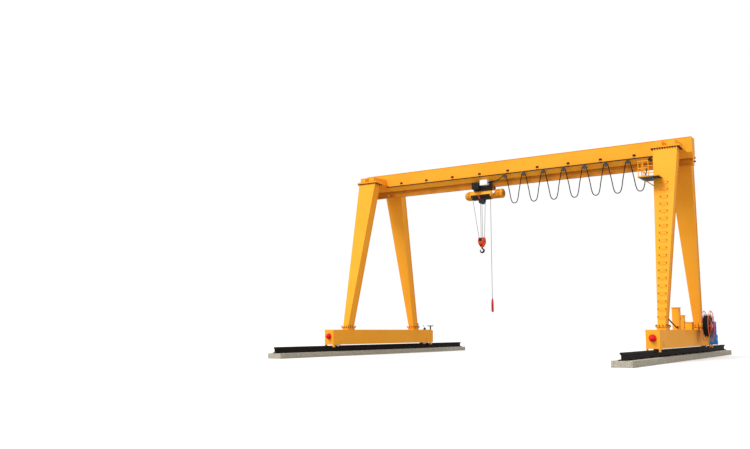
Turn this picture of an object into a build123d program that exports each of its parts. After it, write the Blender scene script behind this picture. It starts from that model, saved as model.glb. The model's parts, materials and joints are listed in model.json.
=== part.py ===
from build123d import *

import math
import os

# Single girder gantry crane on two ground rails.
# X runs along the girder, Y along the rails and Z up, in millimetres.
# The origin is on the ground, midway between the rails.

SIDES = {"left": -1, "right": 1}
ENDS = {"front": -1, "back": 1}
RUNNING_GAP = 0.3

# Runway
SPAN = 14000
STRIP_LENGTH = 16000
STRIP_WIDTH = 660
STRIP_HEIGHT = 210
RAIL_END_GAP = 30
RAIL_LENGTH = STRIP_LENGTH - 2 * RAIL_END_GAP
RAIL_HEIGHT = 250
RAIL_HEAD_WIDTH = 120
RAIL_HEAD_DEPTH = 62
RAIL_WEB = 44
RAIL_FOOT_WIDTH = 230
RAIL_FOOT_DEPTH = 34
RAIL_FILLET = 24
RAIL_TOP = STRIP_HEIGHT + RAIL_HEIGHT

# End trucks and their wheels
TRUCK_LENGTH = 8690
TRUCK_WIDTH = 480
TRUCK_HEIGHT = 658
TRUCK_CLEARANCE = 40
TRUCK_SIDE_PLATE = 12
TRUCK_FLANGE_PLATE = 16
TRUCK_BOTTOM = RAIL_TOP + TRUCK_CLEARANCE
TRUCK_TOP = TRUCK_BOTTOM + TRUCK_HEIGHT
WHEEL_END_DISTANCE = 545
WHEEL_BASE = TRUCK_LENGTH - 2 * WHEEL_END_DISTANCE
WHEEL_RADIUS = 200
WHEEL_FLANGE = 40
WHEEL_FLANGE_WIDTH = 26
WHEEL_PLAY = 15
WHEEL_DISH = 34
AXLE_RADIUS = 45
WHEEL_Z = RAIL_TOP + RUNNING_GAP + WHEEL_RADIUS
SWEEP_LENGTH = 130
SWEEP_WIDTH = 45
SWEEP_DROP = 105
BUFFER_RADIUS = 130
BUFFER_LENGTH = 190
BUFFER_BASE = 30
BUFFER_NECK = 0.74
BUFFER_RISE = 370
BUFFER_Z = TRUCK_BOTTOM + BUFFER_RISE

# Girder: a box, an inclined belly and the I-beam that carries the trolley
GIRDER_OVERHANG = 760
GIRDER_LENGTH = SPAN + 2 * GIRDER_OVERHANG
GIRDER_WIDTH = 520
GIRDER_BOTTOM = 8130
GIRDER_HEIGHT = 615
GIRDER_WEB = 10
GIRDER_FLANGE = 14
GIRDER_LIP = 14
END_PLATE = 16
TRACK_HEIGHT = 300
TRACK_WIDTH = 200
TRACK_FLANGE = 22
TRACK_WEB = 14
BELLY_DROP = 205
BELLY_PLATE = 14
TRACK_TOP = GIRDER_BOTTOM - BELLY_DROP
TRACK_BOTTOM = TRACK_TOP - TRACK_HEIGHT
END_BOLT_RADIUS = 34
END_BOLT_REACH = 70

# Legs: tapered boxes from the trucks up to the girder brackets
LEG_END_DISTANCE = 1475
LEG_FOOT_SPREAD = TRUCK_LENGTH / 2 - LEG_END_DISTANCE
LEG_TOP_SPREAD = 1136
FOOT_PLATE = 15
FOOT_PLATE_WIDTH = 420
FOOT_PLATE_DEPTH = 610
FOOT_STUB_WIDTH = 330
FOOT_STUB_DEPTH = 520
FOOT_STUB_HEIGHT = 113
LEG_FOOT_Z = TRUCK_TOP + FOOT_STUB_HEIGHT + 2 * FOOT_PLATE
LEG_TOP_RISE = 82
LEG_TOP_Z = GIRDER_BOTTOM + LEG_TOP_RISE
LEG_FOOT_WIDTH = 273
LEG_TOP_WIDTH = 922
LEG_DEPTH = 461
LEG_PLATE = 10
LEG_WEB_INSET = 26
LEG_FLANGE_PLATE = 20
BRACKET_SIDE_EDGE = 97.5
BRACKET_WIDTH = LEG_TOP_WIDTH + 2 * BRACKET_SIDE_EDGE
BRACKET_END_EDGE = 63.5
BRACKET_REACH = LEG_TOP_SPREAD + LEG_DEPTH / 2 + BRACKET_END_EDGE
BRACKET_PLATE = 24
CORBEL_WIDTH = 270
CORBEL_SPACING = 490
CORBEL_OUTER_HEIGHT = 225
CORBEL_RISE = 50
CORBEL_WALL = 12

# Landing and ladder on the right front leg
LANDING_DROP = 1190
LANDING_Z = GIRDER_BOTTOM - LANDING_DROP
LANDING_PLATE = 40
LANDING_LENGTH = 443
LANDING_WRAP = 330
LANDING_REACH = 588
LANDING_BACK_EDGE = 24
LANDING_RAIL_HEIGHT = 590
LANDING_POST = 34
LANDING_BRACE = 50
LANDING_BRACE_DROP = 330
RUNG_FOOT_GAP = 319
RUNG_FIRST_Z = LEG_FOOT_Z + RUNG_FOOT_GAP
RUNG_LANDING_GAP = 180
RUNG_LAST_Z = LANDING_Z - RUNG_LANDING_GAP
RUNG_COUNT = 19
RUNG_WIDTH = 290
RUNG_STANDOFF = 120
RUNG_BAR = 24

# Pieces on the trucks
CLAMP_OFFSET = 120
CLAMP_WIDTH = 200
CLAMP_DEPTH = 180
CLAMP_RISE = 100
CLAMP_BOTTOM = RAIL_TOP + CLAMP_RISE
CLAMP_HEIGHT = 560
CLAMP_TOP = CLAMP_BOTTOM + CLAMP_HEIGHT
CLAMP_JAW = 20
CLAMP_JAW_GAP = 25
CLAMP_STEM_RADIUS = 34
CLAMP_STEM_HEIGHT = 225
CLAMP_STEM_TOP = CLAMP_TOP + CLAMP_STEM_HEIGHT
HANDWHEEL_RADIUS = 165
HANDWHEEL_RIM = 26
HANDWHEEL_HUB = 38
HANDWHEEL_THICKNESS = 30
SPINDLE_RADIUS = 16
SPINDLE_DEPTH = 120
DRIVE_REDUCER_WIDTH = 300
DRIVE_REDUCER_DEPTH = 280
DRIVE_REDUCER_HEIGHT = 420
DRIVE_REDUCER_RISE = 30
DRIVE_REDUCER_BOTTOM = TRUCK_BOTTOM + DRIVE_REDUCER_RISE
DRIVE_REDUCER_TOP = DRIVE_REDUCER_BOTTOM + DRIVE_REDUCER_HEIGHT
DRIVE_CHAMFER = 40
DRIVE_MOTOR_RADIUS = 118
DRIVE_MOTOR_HEIGHT = 550
DRIVE_MOTOR_TOP = DRIVE_REDUCER_TOP + DRIVE_MOTOR_HEIGHT
CABINETS = {
    # name: (y centre, width along X, length along Y, height)
    "tall": (-850, 250, 300, 850),
    "medium": (80, 150, 220, 570),
    "low": (1270, 240, 380, 310),
}
CABINET_CAP = 24
CABINET_CAP_LIP = 22

# Cable reel on the outer face of the right truck
REEL_Y = 1700
REEL_RISE = 152
REEL_Z = TRUCK_TOP + REEL_RISE
REEL_TRUCK_GAP = 230
REEL_INNER_X = SPAN / 2 + TRUCK_WIDTH / 2 + REEL_TRUCK_GAP
REEL_WIDTH = 280
REEL_OUTER_X = REEL_INNER_X + REEL_WIDTH
REEL_RADIUS = 622
REEL_RING = 30
REEL_RING_THICKNESS = 20
REEL_RIM_DEPTH = 192
REEL_DRUM_RADIUS = REEL_RADIUS - REEL_RIM_DEPTH
REEL_HUB_RADIUS = 110
REEL_AXLE_RADIUS = 48
REEL_SPOKES = 8
REEL_SPOKE = 26
REEL_CAP_REACH = 40
REEL_PLATE = 24
REEL_PLATE_WIDTH = 360
REEL_PLATE_FOOT = 140
REEL_PLATE_BOTTOM = TRUCK_BOTTOM + REEL_PLATE_FOOT
REEL_PLATE_RISE = 130
REEL_PLATE_TOP = REEL_Z + REEL_PLATE_RISE

# Trolley and hoist, with X from the trolley's middle
TROLLEY_X = -1400
TROLLEY_HALF = 480
TROLLEY_PLATE = 16
TROLLEY_SIDE_GAP = 50
TROLLEY_PLATE_Y = TRACK_WIDTH / 2 + TROLLEY_SIDE_GAP
TROLLEY_FACE_Y = -TROLLEY_PLATE_Y - TROLLEY_PLATE
TROLLEY_RISE = 225
TROLLEY_TOP = TRACK_BOTTOM + TROLLEY_RISE
TROLLEY_DROP = 155
TROLLEY_BOTTOM = TRACK_BOTTOM - TROLLEY_DROP
TROLLEY_WHEEL_RADIUS = 75
TROLLEY_WHEEL_WIDTH = 46
TROLLEY_WHEEL_FLANGE = 14
TROLLEY_WHEEL_GAP = 6
TROLLEY_WHEEL_X = 340
TROLLEY_AXLE_RADIUS = 22
TROLLEY_MOTOR_LEFT = -460
TROLLEY_MOTOR_LENGTH = 340
TROLLEY_MOTOR_DEPTH = 240
TROLLEY_MOTOR_HEIGHT = 320
TROLLEY_MOTOR_CHAMFER = 30
CONTROL_BOX_LEFT = -70
CONTROL_BOX_LENGTH = 380
CONTROL_BOX_RIGHT = CONTROL_BOX_LEFT + CONTROL_BOX_LENGTH
CONTROL_BOX_DEPTH = 200
CONTROL_BOX_HEIGHT = 245
CONTROL_BOX_RISE = 85
CONTROL_BOX_TOP = TROLLEY_TOP + CONTROL_BOX_RISE
HANGER_RADIUS = 25
HANGER_X = 400
HANGER_DROP = 85
HANGER_Z = TRACK_BOTTOM - HANGER_DROP
LUG_WIDTH = 100
LUG_DEPTH = 120
LUG_RISE = 50
HOIST_DROP = 250
HOIST_Z = HANGER_Z - HOIST_DROP
HOIST_END_PLATE = 26
DRUM_LEFT = -620
DRUM_LENGTH = 970
DRUM_RIGHT = DRUM_LEFT + DRUM_LENGTH
GEARBOX_LENGTH = 294
MOTOR_LENGTH = 574
HOIST_LEFT = DRUM_LEFT - HOIST_END_PLATE - GEARBOX_LENGTH
HOIST_RIGHT = DRUM_RIGHT + HOIST_END_PLATE + MOTOR_LENGTH
DRUM_RADIUS = 165
DRUM_GROOVES = 22
DRUM_GROOVE_DEPTH = 6
DRUM_GAP = 6
DRUM_SHAFT_RADIUS = 50
COVER_GAP = 32
COVER_PLATE = 8
COVER_RADIUS = DRUM_RADIUS + COVER_GAP + COVER_PLATE
HOIST_END_LIP = 7
HOIST_END_RADIUS = COVER_RADIUS + HOIST_END_LIP
GEARBOX_RADIUS = 200
GEARBOX_DOME = 40
GEARBOX_NECK = 110
GEARBOX_FLANGE = 40
MOTOR_RADIUS = 186
MOTOR_CAP_LIP = 28
MOTOR_CAP_RADIUS = MOTOR_RADIUS + MOTOR_CAP_LIP
MOTOR_CAP_LENGTH = 110
MOTOR_CAP_ROUND = 40
TERMINAL_OFFSET = 184
TERMINAL_RADIUS = 62
TERMINAL_RISE = 60
TERMINAL_REACH = 260
GUIDE_X = -215
GUIDE_WIDTH = 74
OUTLET_X = -130
OUTLET_RADIUS = 132
OUTLET_WIDTH = 230
OUTLET_DROP = 280
OUTLET_Z = HOIST_Z - OUTLET_DROP
OUTLET_LAP = 10
OUTLET_STRAP = 40
OUTLET_STRAP_DROP = 170
STOP_LENGTH = 80
STOP_HEIGHT = 90

# Festoon track, its carriers and the cable loops
FESTOON_WEB_GAP = 85
FESTOON_Y = -GIRDER_WIDTH / 2 - FESTOON_WEB_GAP
FESTOON_TRACK_DROP = 48
FESTOON_TRACK_Z = GIRDER_BOTTOM - FESTOON_TRACK_DROP
FESTOON_TRACK_HEIGHT = 36
FESTOON_TRACK_WIDTH = 44
FESTOON_START_GAP = 1260
FESTOON_TRACK_START = FESTOON_START_GAP - GIRDER_LENGTH / 2
FESTOON_TROLLEY_GAP = 1160
FESTOON_FIRST_X = TROLLEY_X + FESTOON_TROLLEY_GAP
FESTOON_END_GAP = 360
FESTOON_END_X = SPAN / 2 - LEG_TOP_WIDTH / 2 - FESTOON_END_GAP
FESTOON_LOOPS = 7
FESTOON_PITCH = (FESTOON_END_X - FESTOON_FIRST_X) / FESTOON_LOOPS
FESTOON_BRACKETS = 9
FESTOON_BRACKET_WIDTH = 60
FESTOON_BRACKET_PLATE = 12
FESTOON_BRACKET_INSET = 763
FESTOON_BRACKET_RISE = 135
FESTOON_BRACKET_Z = GIRDER_BOTTOM + FESTOON_BRACKET_RISE
SADDLE_DROP = 127
SADDLE_Z = FESTOON_TRACK_Z - SADDLE_DROP
SADDLE_RADIUS = 90
SADDLE_WRAP = 78
SADDLE_LEAD_WRAP = 42
SADDLE_TUBE = 26
SADDLE_CORE_LAP = 1
CARRIER_LENGTH = 90
CARRIER_PLATE = 8
CARRIER_GAP = 6
CABLE_DIAMETER = 40
LOOP_DROP = 1222
LOOP_FIRST_RUN = 690
LOOP_SHAPE = [
    # down to the bottom: share of the pitch from the loop's middle, share of the drop
    (-0.2, 0.8),
    (-0.11, 1.0),
]
LEAD_RUN = 200
LEAD_DROP = 135
LEAD_Z = CONTROL_BOX_TOP - LEAD_DROP

# Rope falls and hook block
ROPE_RADIUS = 10
FALL_DRUM_INSET = 70
FALL_LEFT = 80
FALL_MIDDLE = 30
FALL_RIGHT = 90
BLOCK_X = -180
BLOCK_DROP = 2125
BLOCK_Z = HOIST_Z - BLOCK_DROP
BLOCK_CHEEK = 26
BLOCK_WIDTH = 230
BLOCK_BOSS = 14
BLOCK_TONGUE_DROP = 270
BLOCK_TONGUE_Z = BLOCK_Z - BLOCK_TONGUE_DROP
BLOCK_TONGUE_WIDTH = 104
BLOCK_BAND = 12
SHEAVE_RADIUS = 148
SHEAVE_RIM = 24
SHEAVE_EDGE = 4
SHEAVE_WIDTH = 72
SHEAVE_SPACING = 86
SHEAVE_PIN_RADIUS = 32
BLOCK_RIM_GAP = 18
BLOCK_RADIUS = SHEAVE_RADIUS + SHEAVE_RIM + BLOCK_RIM_GAP
CROSSHEAD_HEIGHT = 58
CROSSHEAD_DEPTH = 96
HOOK_SHANK_RADIUS = 30
HOOK_BOWL_RADIUS = 92
HOOK_SECTION_RADIUS = 29
HOOK_DROP = 273
HOOK_BOTTOM = BLOCK_TONGUE_Z - HOOK_DROP
HOOK_LEAD = 0.1
HOOK_NUT_RADIUS = 46
HOOK_NUT_HEIGHT = 28

# Pendant control, under the hoist's right end plate
PENDANT_X = DRUM_RIGHT + HOIST_END_PLATE / 2
PENDANT_Y = -160
PENDANT_GLAND_RADIUS = 24
PENDANT_GLAND_DROP = 240
PENDANT_GLAND_Z = HOIST_Z - PENDANT_GLAND_DROP
PENDANT_CABLE_DIAMETER = 22
PENDANT_CABLE_LENGTH = 4540
PENDANT_TOP = PENDANT_GLAND_Z - PENDANT_CABLE_LENGTH
PENDANT_HEIGHT = 565
PENDANT_BOTTOM = PENDANT_TOP - PENDANT_HEIGHT
PENDANT_WIDTH = 90
PENDANT_DEPTH = 80


def block(x, y, z):
    """Box between a low and a high value on each axis."""
    low = Vector(x[0], y[0], z[0])
    high = Vector(x[1], y[1], z[1])
    size = high - low
    return Pos(*((low + high) * 0.5)) * Box(size.X, size.Y, size.Z)


def rod(start, end, radius):
    """Round bar from one point to another."""
    start = Vector(*start)
    end = Vector(*end)
    along = end - start
    base = Plane(origin=start, z_dir=along)
    return base * Cylinder(radius, along.length, align=(Align.CENTER, Align.CENTER, Align.MIN))


def along_x(sketch, x):
    """Extrude a sketch drawn in Y and Z between two values of X."""
    return extrude(Plane.YZ.offset(x[0]) * sketch, x[1] - x[0])


def polygon(*points):
    return make_face(Polyline(*points, close=True))


def spun_x(radii, y, z):
    """Solid of revolution about a line along X, from (x, radius) steps."""
    first, last = radii[0], radii[-1]
    outline = [(first[0], 0), *radii, (last[0], 0)]
    face = make_face(Polyline(*outline, close=True))
    return Pos(0, y, z) * revolve(Plane.XZ * face, Axis.X, 360)


def both_sides(make):
    return Compound([make(s) for s in SIDES.values()])


# Runway

def foundation_strip(s):
    x = s * SPAN / 2
    half = STRIP_WIDTH / 2
    return block((x - half, x + half), (-STRIP_LENGTH / 2, STRIP_LENGTH / 2), (0, STRIP_HEIGHT))


def crane_rail(s):
    centre_bottom = (Align.CENTER, Align.MIN)
    foot = Rectangle(RAIL_FOOT_WIDTH, RAIL_FOOT_DEPTH, align=centre_bottom)
    web = Rectangle(RAIL_WEB, RAIL_HEIGHT, align=centre_bottom)
    head = Rectangle(RAIL_HEAD_WIDTH, RAIL_HEAD_DEPTH, align=centre_bottom)
    profile = foot + web + Pos(0, RAIL_HEIGHT - RAIL_HEAD_DEPTH) * head
    corners = profile.vertices().filter_by(lambda v: abs(abs(v.X) - RAIL_WEB / 2) < 1)
    inner = corners.filter_by(lambda v: RAIL_FOOT_DEPTH - 1 < v.Y < RAIL_HEIGHT - RAIL_HEAD_DEPTH + 1)
    profile = fillet(inner, RAIL_FILLET)
    rail = extrude(Plane.XZ * profile, RAIL_LENGTH / 2, both=True)
    return Pos(s * SPAN / 2, 0, STRIP_HEIGHT) * rail


# End trucks

def truck(s):
    """Hollow box beam with wheel pockets, axle holes, rail sweeps and leg stubs."""
    half = TRUCK_WIDTH / 2
    end = TRUCK_LENGTH / 2
    side, flange = TRUCK_SIDE_PLATE, TRUCK_FLANGE_PLATE
    beam = block((-half, half), (-end, end), (TRUCK_BOTTOM, TRUCK_TOP))
    beam -= block(
        (-half + side, half - side),
        (-end + flange, end - flange),
        (TRUCK_BOTTOM + flange, TRUCK_TOP - flange),
    )
    pocket = WHEEL_RADIUS + WHEEL_FLANGE
    for e in ENDS.values():
        y = e * WHEEL_BASE / 2
        beam -= block(
            (-half + side, half - side),
            (y - pocket, y + pocket),
            (TRUCK_BOTTOM - flange, TRUCK_BOTTOM + 2 * flange),
        )
        beam -= rod((-2 * half, y, WHEEL_Z), (2 * half, y, WHEEL_Z), AXLE_RADIUS + RUNNING_GAP)
        for t in (-1, 1):
            x = sorted((t * (half - SWEEP_WIDTH), t * half))
            y_sweep = sorted((e * (end - SWEEP_LENGTH), e * end))
            beam += block(x, y_sweep, (TRUCK_BOTTOM - SWEEP_DROP, TRUCK_BOTTOM + flange / 2))
        y = e * LEG_FOOT_SPREAD
        stub_top = TRUCK_TOP + FOOT_STUB_HEIGHT
        for width, depth, low, high in (
            (FOOT_STUB_WIDTH, FOOT_STUB_DEPTH, TRUCK_TOP, stub_top),
            (FOOT_PLATE_WIDTH, FOOT_PLATE_DEPTH, stub_top, stub_top + FOOT_PLATE),
        ):
            beam += block((-width / 2, width / 2), (y - depth / 2, y + depth / 2), (low, high))
    return Pos(s * SPAN / 2, 0, 0) * beam


def wheel(s, e):
    tread = RAIL_HEAD_WIDTH / 2 + WHEEL_PLAY
    edge = tread + WHEEL_FLANGE_WIDTH
    outer = WHEEL_RADIUS + WHEEL_FLANGE
    axle_end = TRUCK_WIDTH / 2 - RUNNING_GAP
    profile = [
        (-axle_end, AXLE_RADIUS),
        (-edge - WHEEL_DISH, AXLE_RADIUS),
        (-edge - WHEEL_DISH, 2 * AXLE_RADIUS),
        (-edge + WHEEL_DISH, 2 * AXLE_RADIUS),
        (-edge + WHEEL_DISH, WHEEL_RADIUS - WHEEL_DISH),
        (-edge, WHEEL_RADIUS - WHEEL_DISH),
        (-edge, outer),
        (-tread, outer),
        (-tread, WHEEL_RADIUS),
    ]
    profile += [(-x, r) for x, r in reversed(profile)]
    return Pos(s * SPAN / 2, 0, 0) * spun_x(profile, e * WHEEL_BASE / 2, WHEEL_Z)


def buffer(x, y, direction, z, radius, length):
    """Domed rubber buffer on a round base, pointing along a direction."""
    neck = BUFFER_NECK * radius
    along = (Align.CENTER, Align.CENTER, Align.MIN)
    dome = Pos(0, 0, BUFFER_BASE) * Cylinder(neck, length - BUFFER_BASE, align=along)
    dome = fillet(dome.edges().group_by(Axis.Z)[-1], 0.95 * neck)
    solid = Cylinder(radius, BUFFER_BASE, align=along) + dome
    return Plane(origin=(x, y, z), z_dir=direction) * solid


def buffers():
    end = TRUCK_LENGTH / 2
    solids = []
    for s in SIDES.values():
        for e in ENDS.values():
            shift = CLAMP_OFFSET - CLAMP_WIDTH / 2 - BUFFER_RADIUS if e > 0 else 0
            x = s * SPAN / 2 + shift
            solids.append(buffer(x, e * end, (0, e, 0), BUFFER_Z, BUFFER_RADIUS, BUFFER_LENGTH))
    return Compound(solids)


def rail_clamp(s):
    """Clamp box on the back end of a truck, with jaws beside the rail head and a hollow stem."""
    x = s * SPAN / 2
    y = TRUCK_LENGTH / 2
    centre = CLAMP_OFFSET
    half = CLAMP_WIDTH / 2
    depth = (y, y + CLAMP_DEPTH)
    clamp = block((centre - half, centre + half), depth, (CLAMP_BOTTOM, CLAMP_TOP))
    jaw_inner = RAIL_HEAD_WIDTH / 2 + CLAMP_JAW_GAP
    jaw_outer = jaw_inner + CLAMP_JAW
    clamp += block((-jaw_outer, centre + half), depth, (TRUCK_BOTTOM, CLAMP_BOTTOM))
    for t in (-1, 1):
        jaw = sorted((t * jaw_inner, t * jaw_outer))
        clamp += block(jaw, depth, (RAIL_TOP - RAIL_HEAD_DEPTH, TRUCK_BOTTOM))
    stem_y = y + CLAMP_DEPTH / 2
    stem_top = (centre, stem_y, CLAMP_STEM_TOP)
    clamp += rod((centre, stem_y, CLAMP_TOP), stem_top, CLAMP_STEM_RADIUS)
    bore_bottom = CLAMP_STEM_TOP - SPINDLE_DEPTH - CLAMP_JAW
    clamp -= rod((centre, stem_y, bore_bottom), stem_top, SPINDLE_RADIUS + RUNNING_GAP)
    return Pos(x, 0, 0) * clamp


def handwheel(s):
    """Rim, four spokes, hub and spindle on the clamp's stem."""
    x = s * SPAN / 2 + CLAMP_OFFSET
    y = TRUCK_LENGTH / 2 + CLAMP_DEPTH / 2
    rim = Circle(HANDWHEEL_RADIUS) - Circle(HANDWHEEL_RADIUS - HANDWHEEL_RIM)
    spoke = Rectangle(2 * HANDWHEEL_RADIUS - HANDWHEEL_RIM, 0.7 * HANDWHEEL_RIM)
    sketch = rim + spoke + Rot(0, 0, 90) * spoke + Circle(HANDWHEEL_HUB)
    turning = extrude(sketch, HANDWHEEL_THICKNESS)
    turning += rod((0, 0, -SPINDLE_DEPTH), (0, 0, HANDWHEEL_THICKNESS / 2), SPINDLE_RADIUS)
    return Pos(x, y, CLAMP_STEM_TOP + RUNNING_GAP) * turning


def drive_unit(s):
    """Gear reducer on the truck's outer face, with an upright motor."""
    face = s * (SPAN / 2 + TRUCK_WIDTH / 2)
    y = WHEEL_BASE / 2
    top = DRIVE_REDUCER_TOP
    half = DRIVE_REDUCER_DEPTH / 2
    x = sorted((face, face + s * DRIVE_REDUCER_WIDTH))
    unit = block(x, (y - half, y + half), (DRIVE_REDUCER_BOTTOM, top))
    unit = chamfer(unit.edges().filter_by(Axis.X), DRIVE_CHAMFER)
    centre = face + s * DRIVE_REDUCER_WIDTH / 2
    step = DRIVE_MOTOR_RADIUS / 4
    unit += rod((centre, y, top), (centre, y, top + step), DRIVE_MOTOR_RADIUS + step)
    unit += rod((centre, y, top + step), (centre, y, DRIVE_MOTOR_TOP), DRIVE_MOTOR_RADIUS)
    unit += block(
        (centre - 2 * step, centre + 2 * step),
        (y - DRIVE_MOTOR_RADIUS - 2 * step, y),
        (DRIVE_MOTOR_TOP - 10 * step, DRIVE_MOTOR_TOP - 5 * step),
    )
    return unit


def cabinets():
    solids = []
    x = SPAN / 2
    for y, width, length, height in CABINETS.values():
        cap_z = TRUCK_TOP + height - CABINET_CAP
        box = block(
            (x - width / 2, x + width / 2), (y - length / 2, y + length / 2), (TRUCK_TOP, cap_z)
        )
        box += block(
            (x - width / 2 - CABINET_CAP_LIP, x + width / 2 + CABINET_CAP_LIP),
            (y - length / 2 - CABINET_CAP_LIP, y + length / 2 + CABINET_CAP_LIP),
            (cap_z, cap_z + CABINET_CAP),
        )
        solids.append(box)
    return Compound(solids)


# Girder

def main_girder():
    """Box section with a top flange lip and inclined belly plates down to the I-beam."""
    half = GIRDER_WIDTH / 2
    top = GIRDER_BOTTOM + GIRDER_HEIGHT
    track = TRACK_WIDTH / 2
    outer = polygon((-half, GIRDER_BOTTOM), (half, GIRDER_BOTTOM), (half, top), (-half, top))
    inner = polygon(
        (-half + GIRDER_WEB, GIRDER_BOTTOM + GIRDER_FLANGE),
        (half - GIRDER_WEB, GIRDER_BOTTOM + GIRDER_FLANGE),
        (half - GIRDER_WEB, top - GIRDER_FLANGE),
        (-half + GIRDER_WEB, top - GIRDER_FLANGE),
    )
    lip = polygon(
        (-half - GIRDER_LIP, top - GIRDER_FLANGE),
        (half + GIRDER_LIP, top - GIRDER_FLANGE),
        (half + GIRDER_LIP, top),
        (-half - GIRDER_LIP, top),
    )
    section = outer - inner + (lip - inner)
    for t in (-1, 1):
        section += polygon(
            (t * half, GIRDER_BOTTOM),
            (t * (half - BELLY_PLATE), GIRDER_BOTTOM),
            (t * (track - BELLY_PLATE), TRACK_TOP),
            (t * track, TRACK_TOP),
        )
    reach = GIRDER_LENGTH / 2 - END_PLATE
    return along_x(section, (-reach, reach))


def track_beam():
    flange = TRACK_WIDTH / 2
    web = TRACK_WEB / 2
    upper = TRACK_TOP - TRACK_FLANGE
    lower = TRACK_BOTTOM + TRACK_FLANGE
    right = [
        (flange, TRACK_BOTTOM),
        (flange, lower),
        (web, lower),
        (web, upper),
        (flange, upper),
        (flange, TRACK_TOP),
    ]
    left = [(-y, z) for y, z in reversed(right)]
    reach = GIRDER_LENGTH / 2 - END_PLATE
    return along_x(polygon(*right, *left), (-reach, reach))


def end_plate(s):
    """Plate that follows the whole girder section, with a stop bolt through it."""
    half = GIRDER_WIDTH / 2
    top = GIRDER_BOTTOM + GIRDER_HEIGHT
    track = TRACK_WIDTH / 2
    right = [(track, TRACK_BOTTOM), (track, TRACK_TOP), (half, GIRDER_BOTTOM), (half, top)]
    left = [(-y, z) for y, z in reversed(right)]
    outer = GIRDER_LENGTH / 2
    plate = along_x(polygon(*right, *left), sorted((s * outer, s * (outer - END_PLATE))))
    z = (TRACK_TOP + TRACK_BOTTOM) / 2
    plate += rod((s * outer, 0, z), (s * (outer + END_BOLT_REACH), 0, z), END_BOLT_RADIUS)
    return plate


def joint_z(y):
    """Height of the bolted joint between leg and bracket at a distance from the girder's middle."""
    half = GIRDER_WIDTH / 2
    share = (y - half) / (BRACKET_REACH - half)
    return GIRDER_BOTTOM + share * (LEG_TOP_Z - GIRDER_BOTTOM)


def bracket(s, e):
    """Sloping joint plate with two box corbels welded to the girder's web."""
    half = GIRDER_WIDTH / 2
    reach = BRACKET_REACH
    x = s * SPAN / 2
    plate = polygon(
        (e * half, joint_z(half)),
        (e * reach, joint_z(reach)),
        (e * reach, joint_z(reach) + BRACKET_PLATE),
        (e * half, joint_z(half) + BRACKET_PLATE),
    )
    solid = along_x(plate, (x - BRACKET_WIDTH / 2, x + BRACKET_WIDTH / 2))
    face = reach - 2 * BRACKET_PLATE
    top = joint_z(reach) + BRACKET_PLATE + CORBEL_OUTER_HEIGHT
    corbel = polygon(
        (e * half, joint_z(half) + BRACKET_PLATE),
        (e * face, joint_z(face) + BRACKET_PLATE),
        (e * face, top),
        (e * half, top + CORBEL_RISE),
    )
    hollow = polygon(
        (e * (half + CORBEL_WALL), joint_z(half) + 2 * BRACKET_PLATE),
        (e * (face - CORBEL_WALL), joint_z(face) + 2 * BRACKET_PLATE),
        (e * (face - CORBEL_WALL), top - CORBEL_WALL),
        (e * (half + CORBEL_WALL), top + CORBEL_RISE - CORBEL_WALL),
    )
    outer_half = CORBEL_WIDTH / 2
    inner_half = outer_half - CORBEL_WALL
    for t in (-1, 1):
        centre = x + t * CORBEL_SPACING / 2
        solid += along_x(corbel, (centre - outer_half, centre + outer_half))
        solid -= along_x(hollow, (centre - inner_half, centre + inner_half))
    return solid


# Legs

def leg_loft(s, e, inset, depth):
    """Tapered solid that leans from foot to top, with its sides moved in by an inset."""
    sections = []
    for spread, z, width in (
        (LEG_FOOT_SPREAD, LEG_FOOT_Z, LEG_FOOT_WIDTH),
        (LEG_TOP_SPREAD, LEG_TOP_Z, LEG_TOP_WIDTH),
    ):
        sections.append(Pos(s * SPAN / 2, e * spread, z) * Rectangle(width - 2 * inset, depth))
    return loft(Sketch() + sections)


def leg(s, e):
    """Box leg: two wide plates with inset side webs, between a foot plate and a top flange."""
    between = LEG_DEPTH - 2 * LEG_PLATE
    solid = leg_loft(s, e, 0, LEG_DEPTH)
    recess = leg_loft(s, e, -LEG_PLATE, between) - leg_loft(s, e, LEG_WEB_INSET, between)
    solid -= recess
    solid -= leg_loft(s, e, LEG_WEB_INSET + LEG_PLATE, between)
    x = s * SPAN / 2
    low = BRACKET_WIDTH / 2
    near = LEG_TOP_SPREAD - LEG_DEPTH / 2 - 3 * LEG_FLANGE_PLATE
    far = BRACKET_REACH
    above = polygon(
        (e * (near - LEG_DEPTH), joint_z(near - LEG_DEPTH) - LEG_FLANGE_PLATE),
        (e * (far + LEG_DEPTH), joint_z(far + LEG_DEPTH) - LEG_FLANGE_PLATE),
        (e * (far + LEG_DEPTH), LEG_TOP_Z + LEG_DEPTH),
        (e * (near - LEG_DEPTH), LEG_TOP_Z + LEG_DEPTH),
    )
    solid -= along_x(above, (x - 2 * low, x + 2 * low))
    flange = polygon(
        (e * near, joint_z(near) - LEG_FLANGE_PLATE),
        (e * far, joint_z(far) - LEG_FLANGE_PLATE),
        (e * far, joint_z(far)),
        (e * near, joint_z(near)),
    )
    solid += along_x(flange, (x - low, x + low))
    y = e * LEG_FOOT_SPREAD
    solid += block(
        (x - FOOT_PLATE_WIDTH / 2, x + FOOT_PLATE_WIDTH / 2),
        (y - FOOT_PLATE_DEPTH / 2, y + FOOT_PLATE_DEPTH / 2),
        (LEG_FOOT_Z - FOOT_PLATE, LEG_FOOT_Z),
    )
    return solid


def leg_side_x(z):
    """Inner edge of the right leg at a height."""
    share = (z - LEG_FOOT_Z) / (LEG_TOP_Z - LEG_FOOT_Z)
    width = LEG_FOOT_WIDTH + share * (LEG_TOP_WIDTH - LEG_FOOT_WIDTH)
    return SPAN / 2 - width / 2


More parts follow.
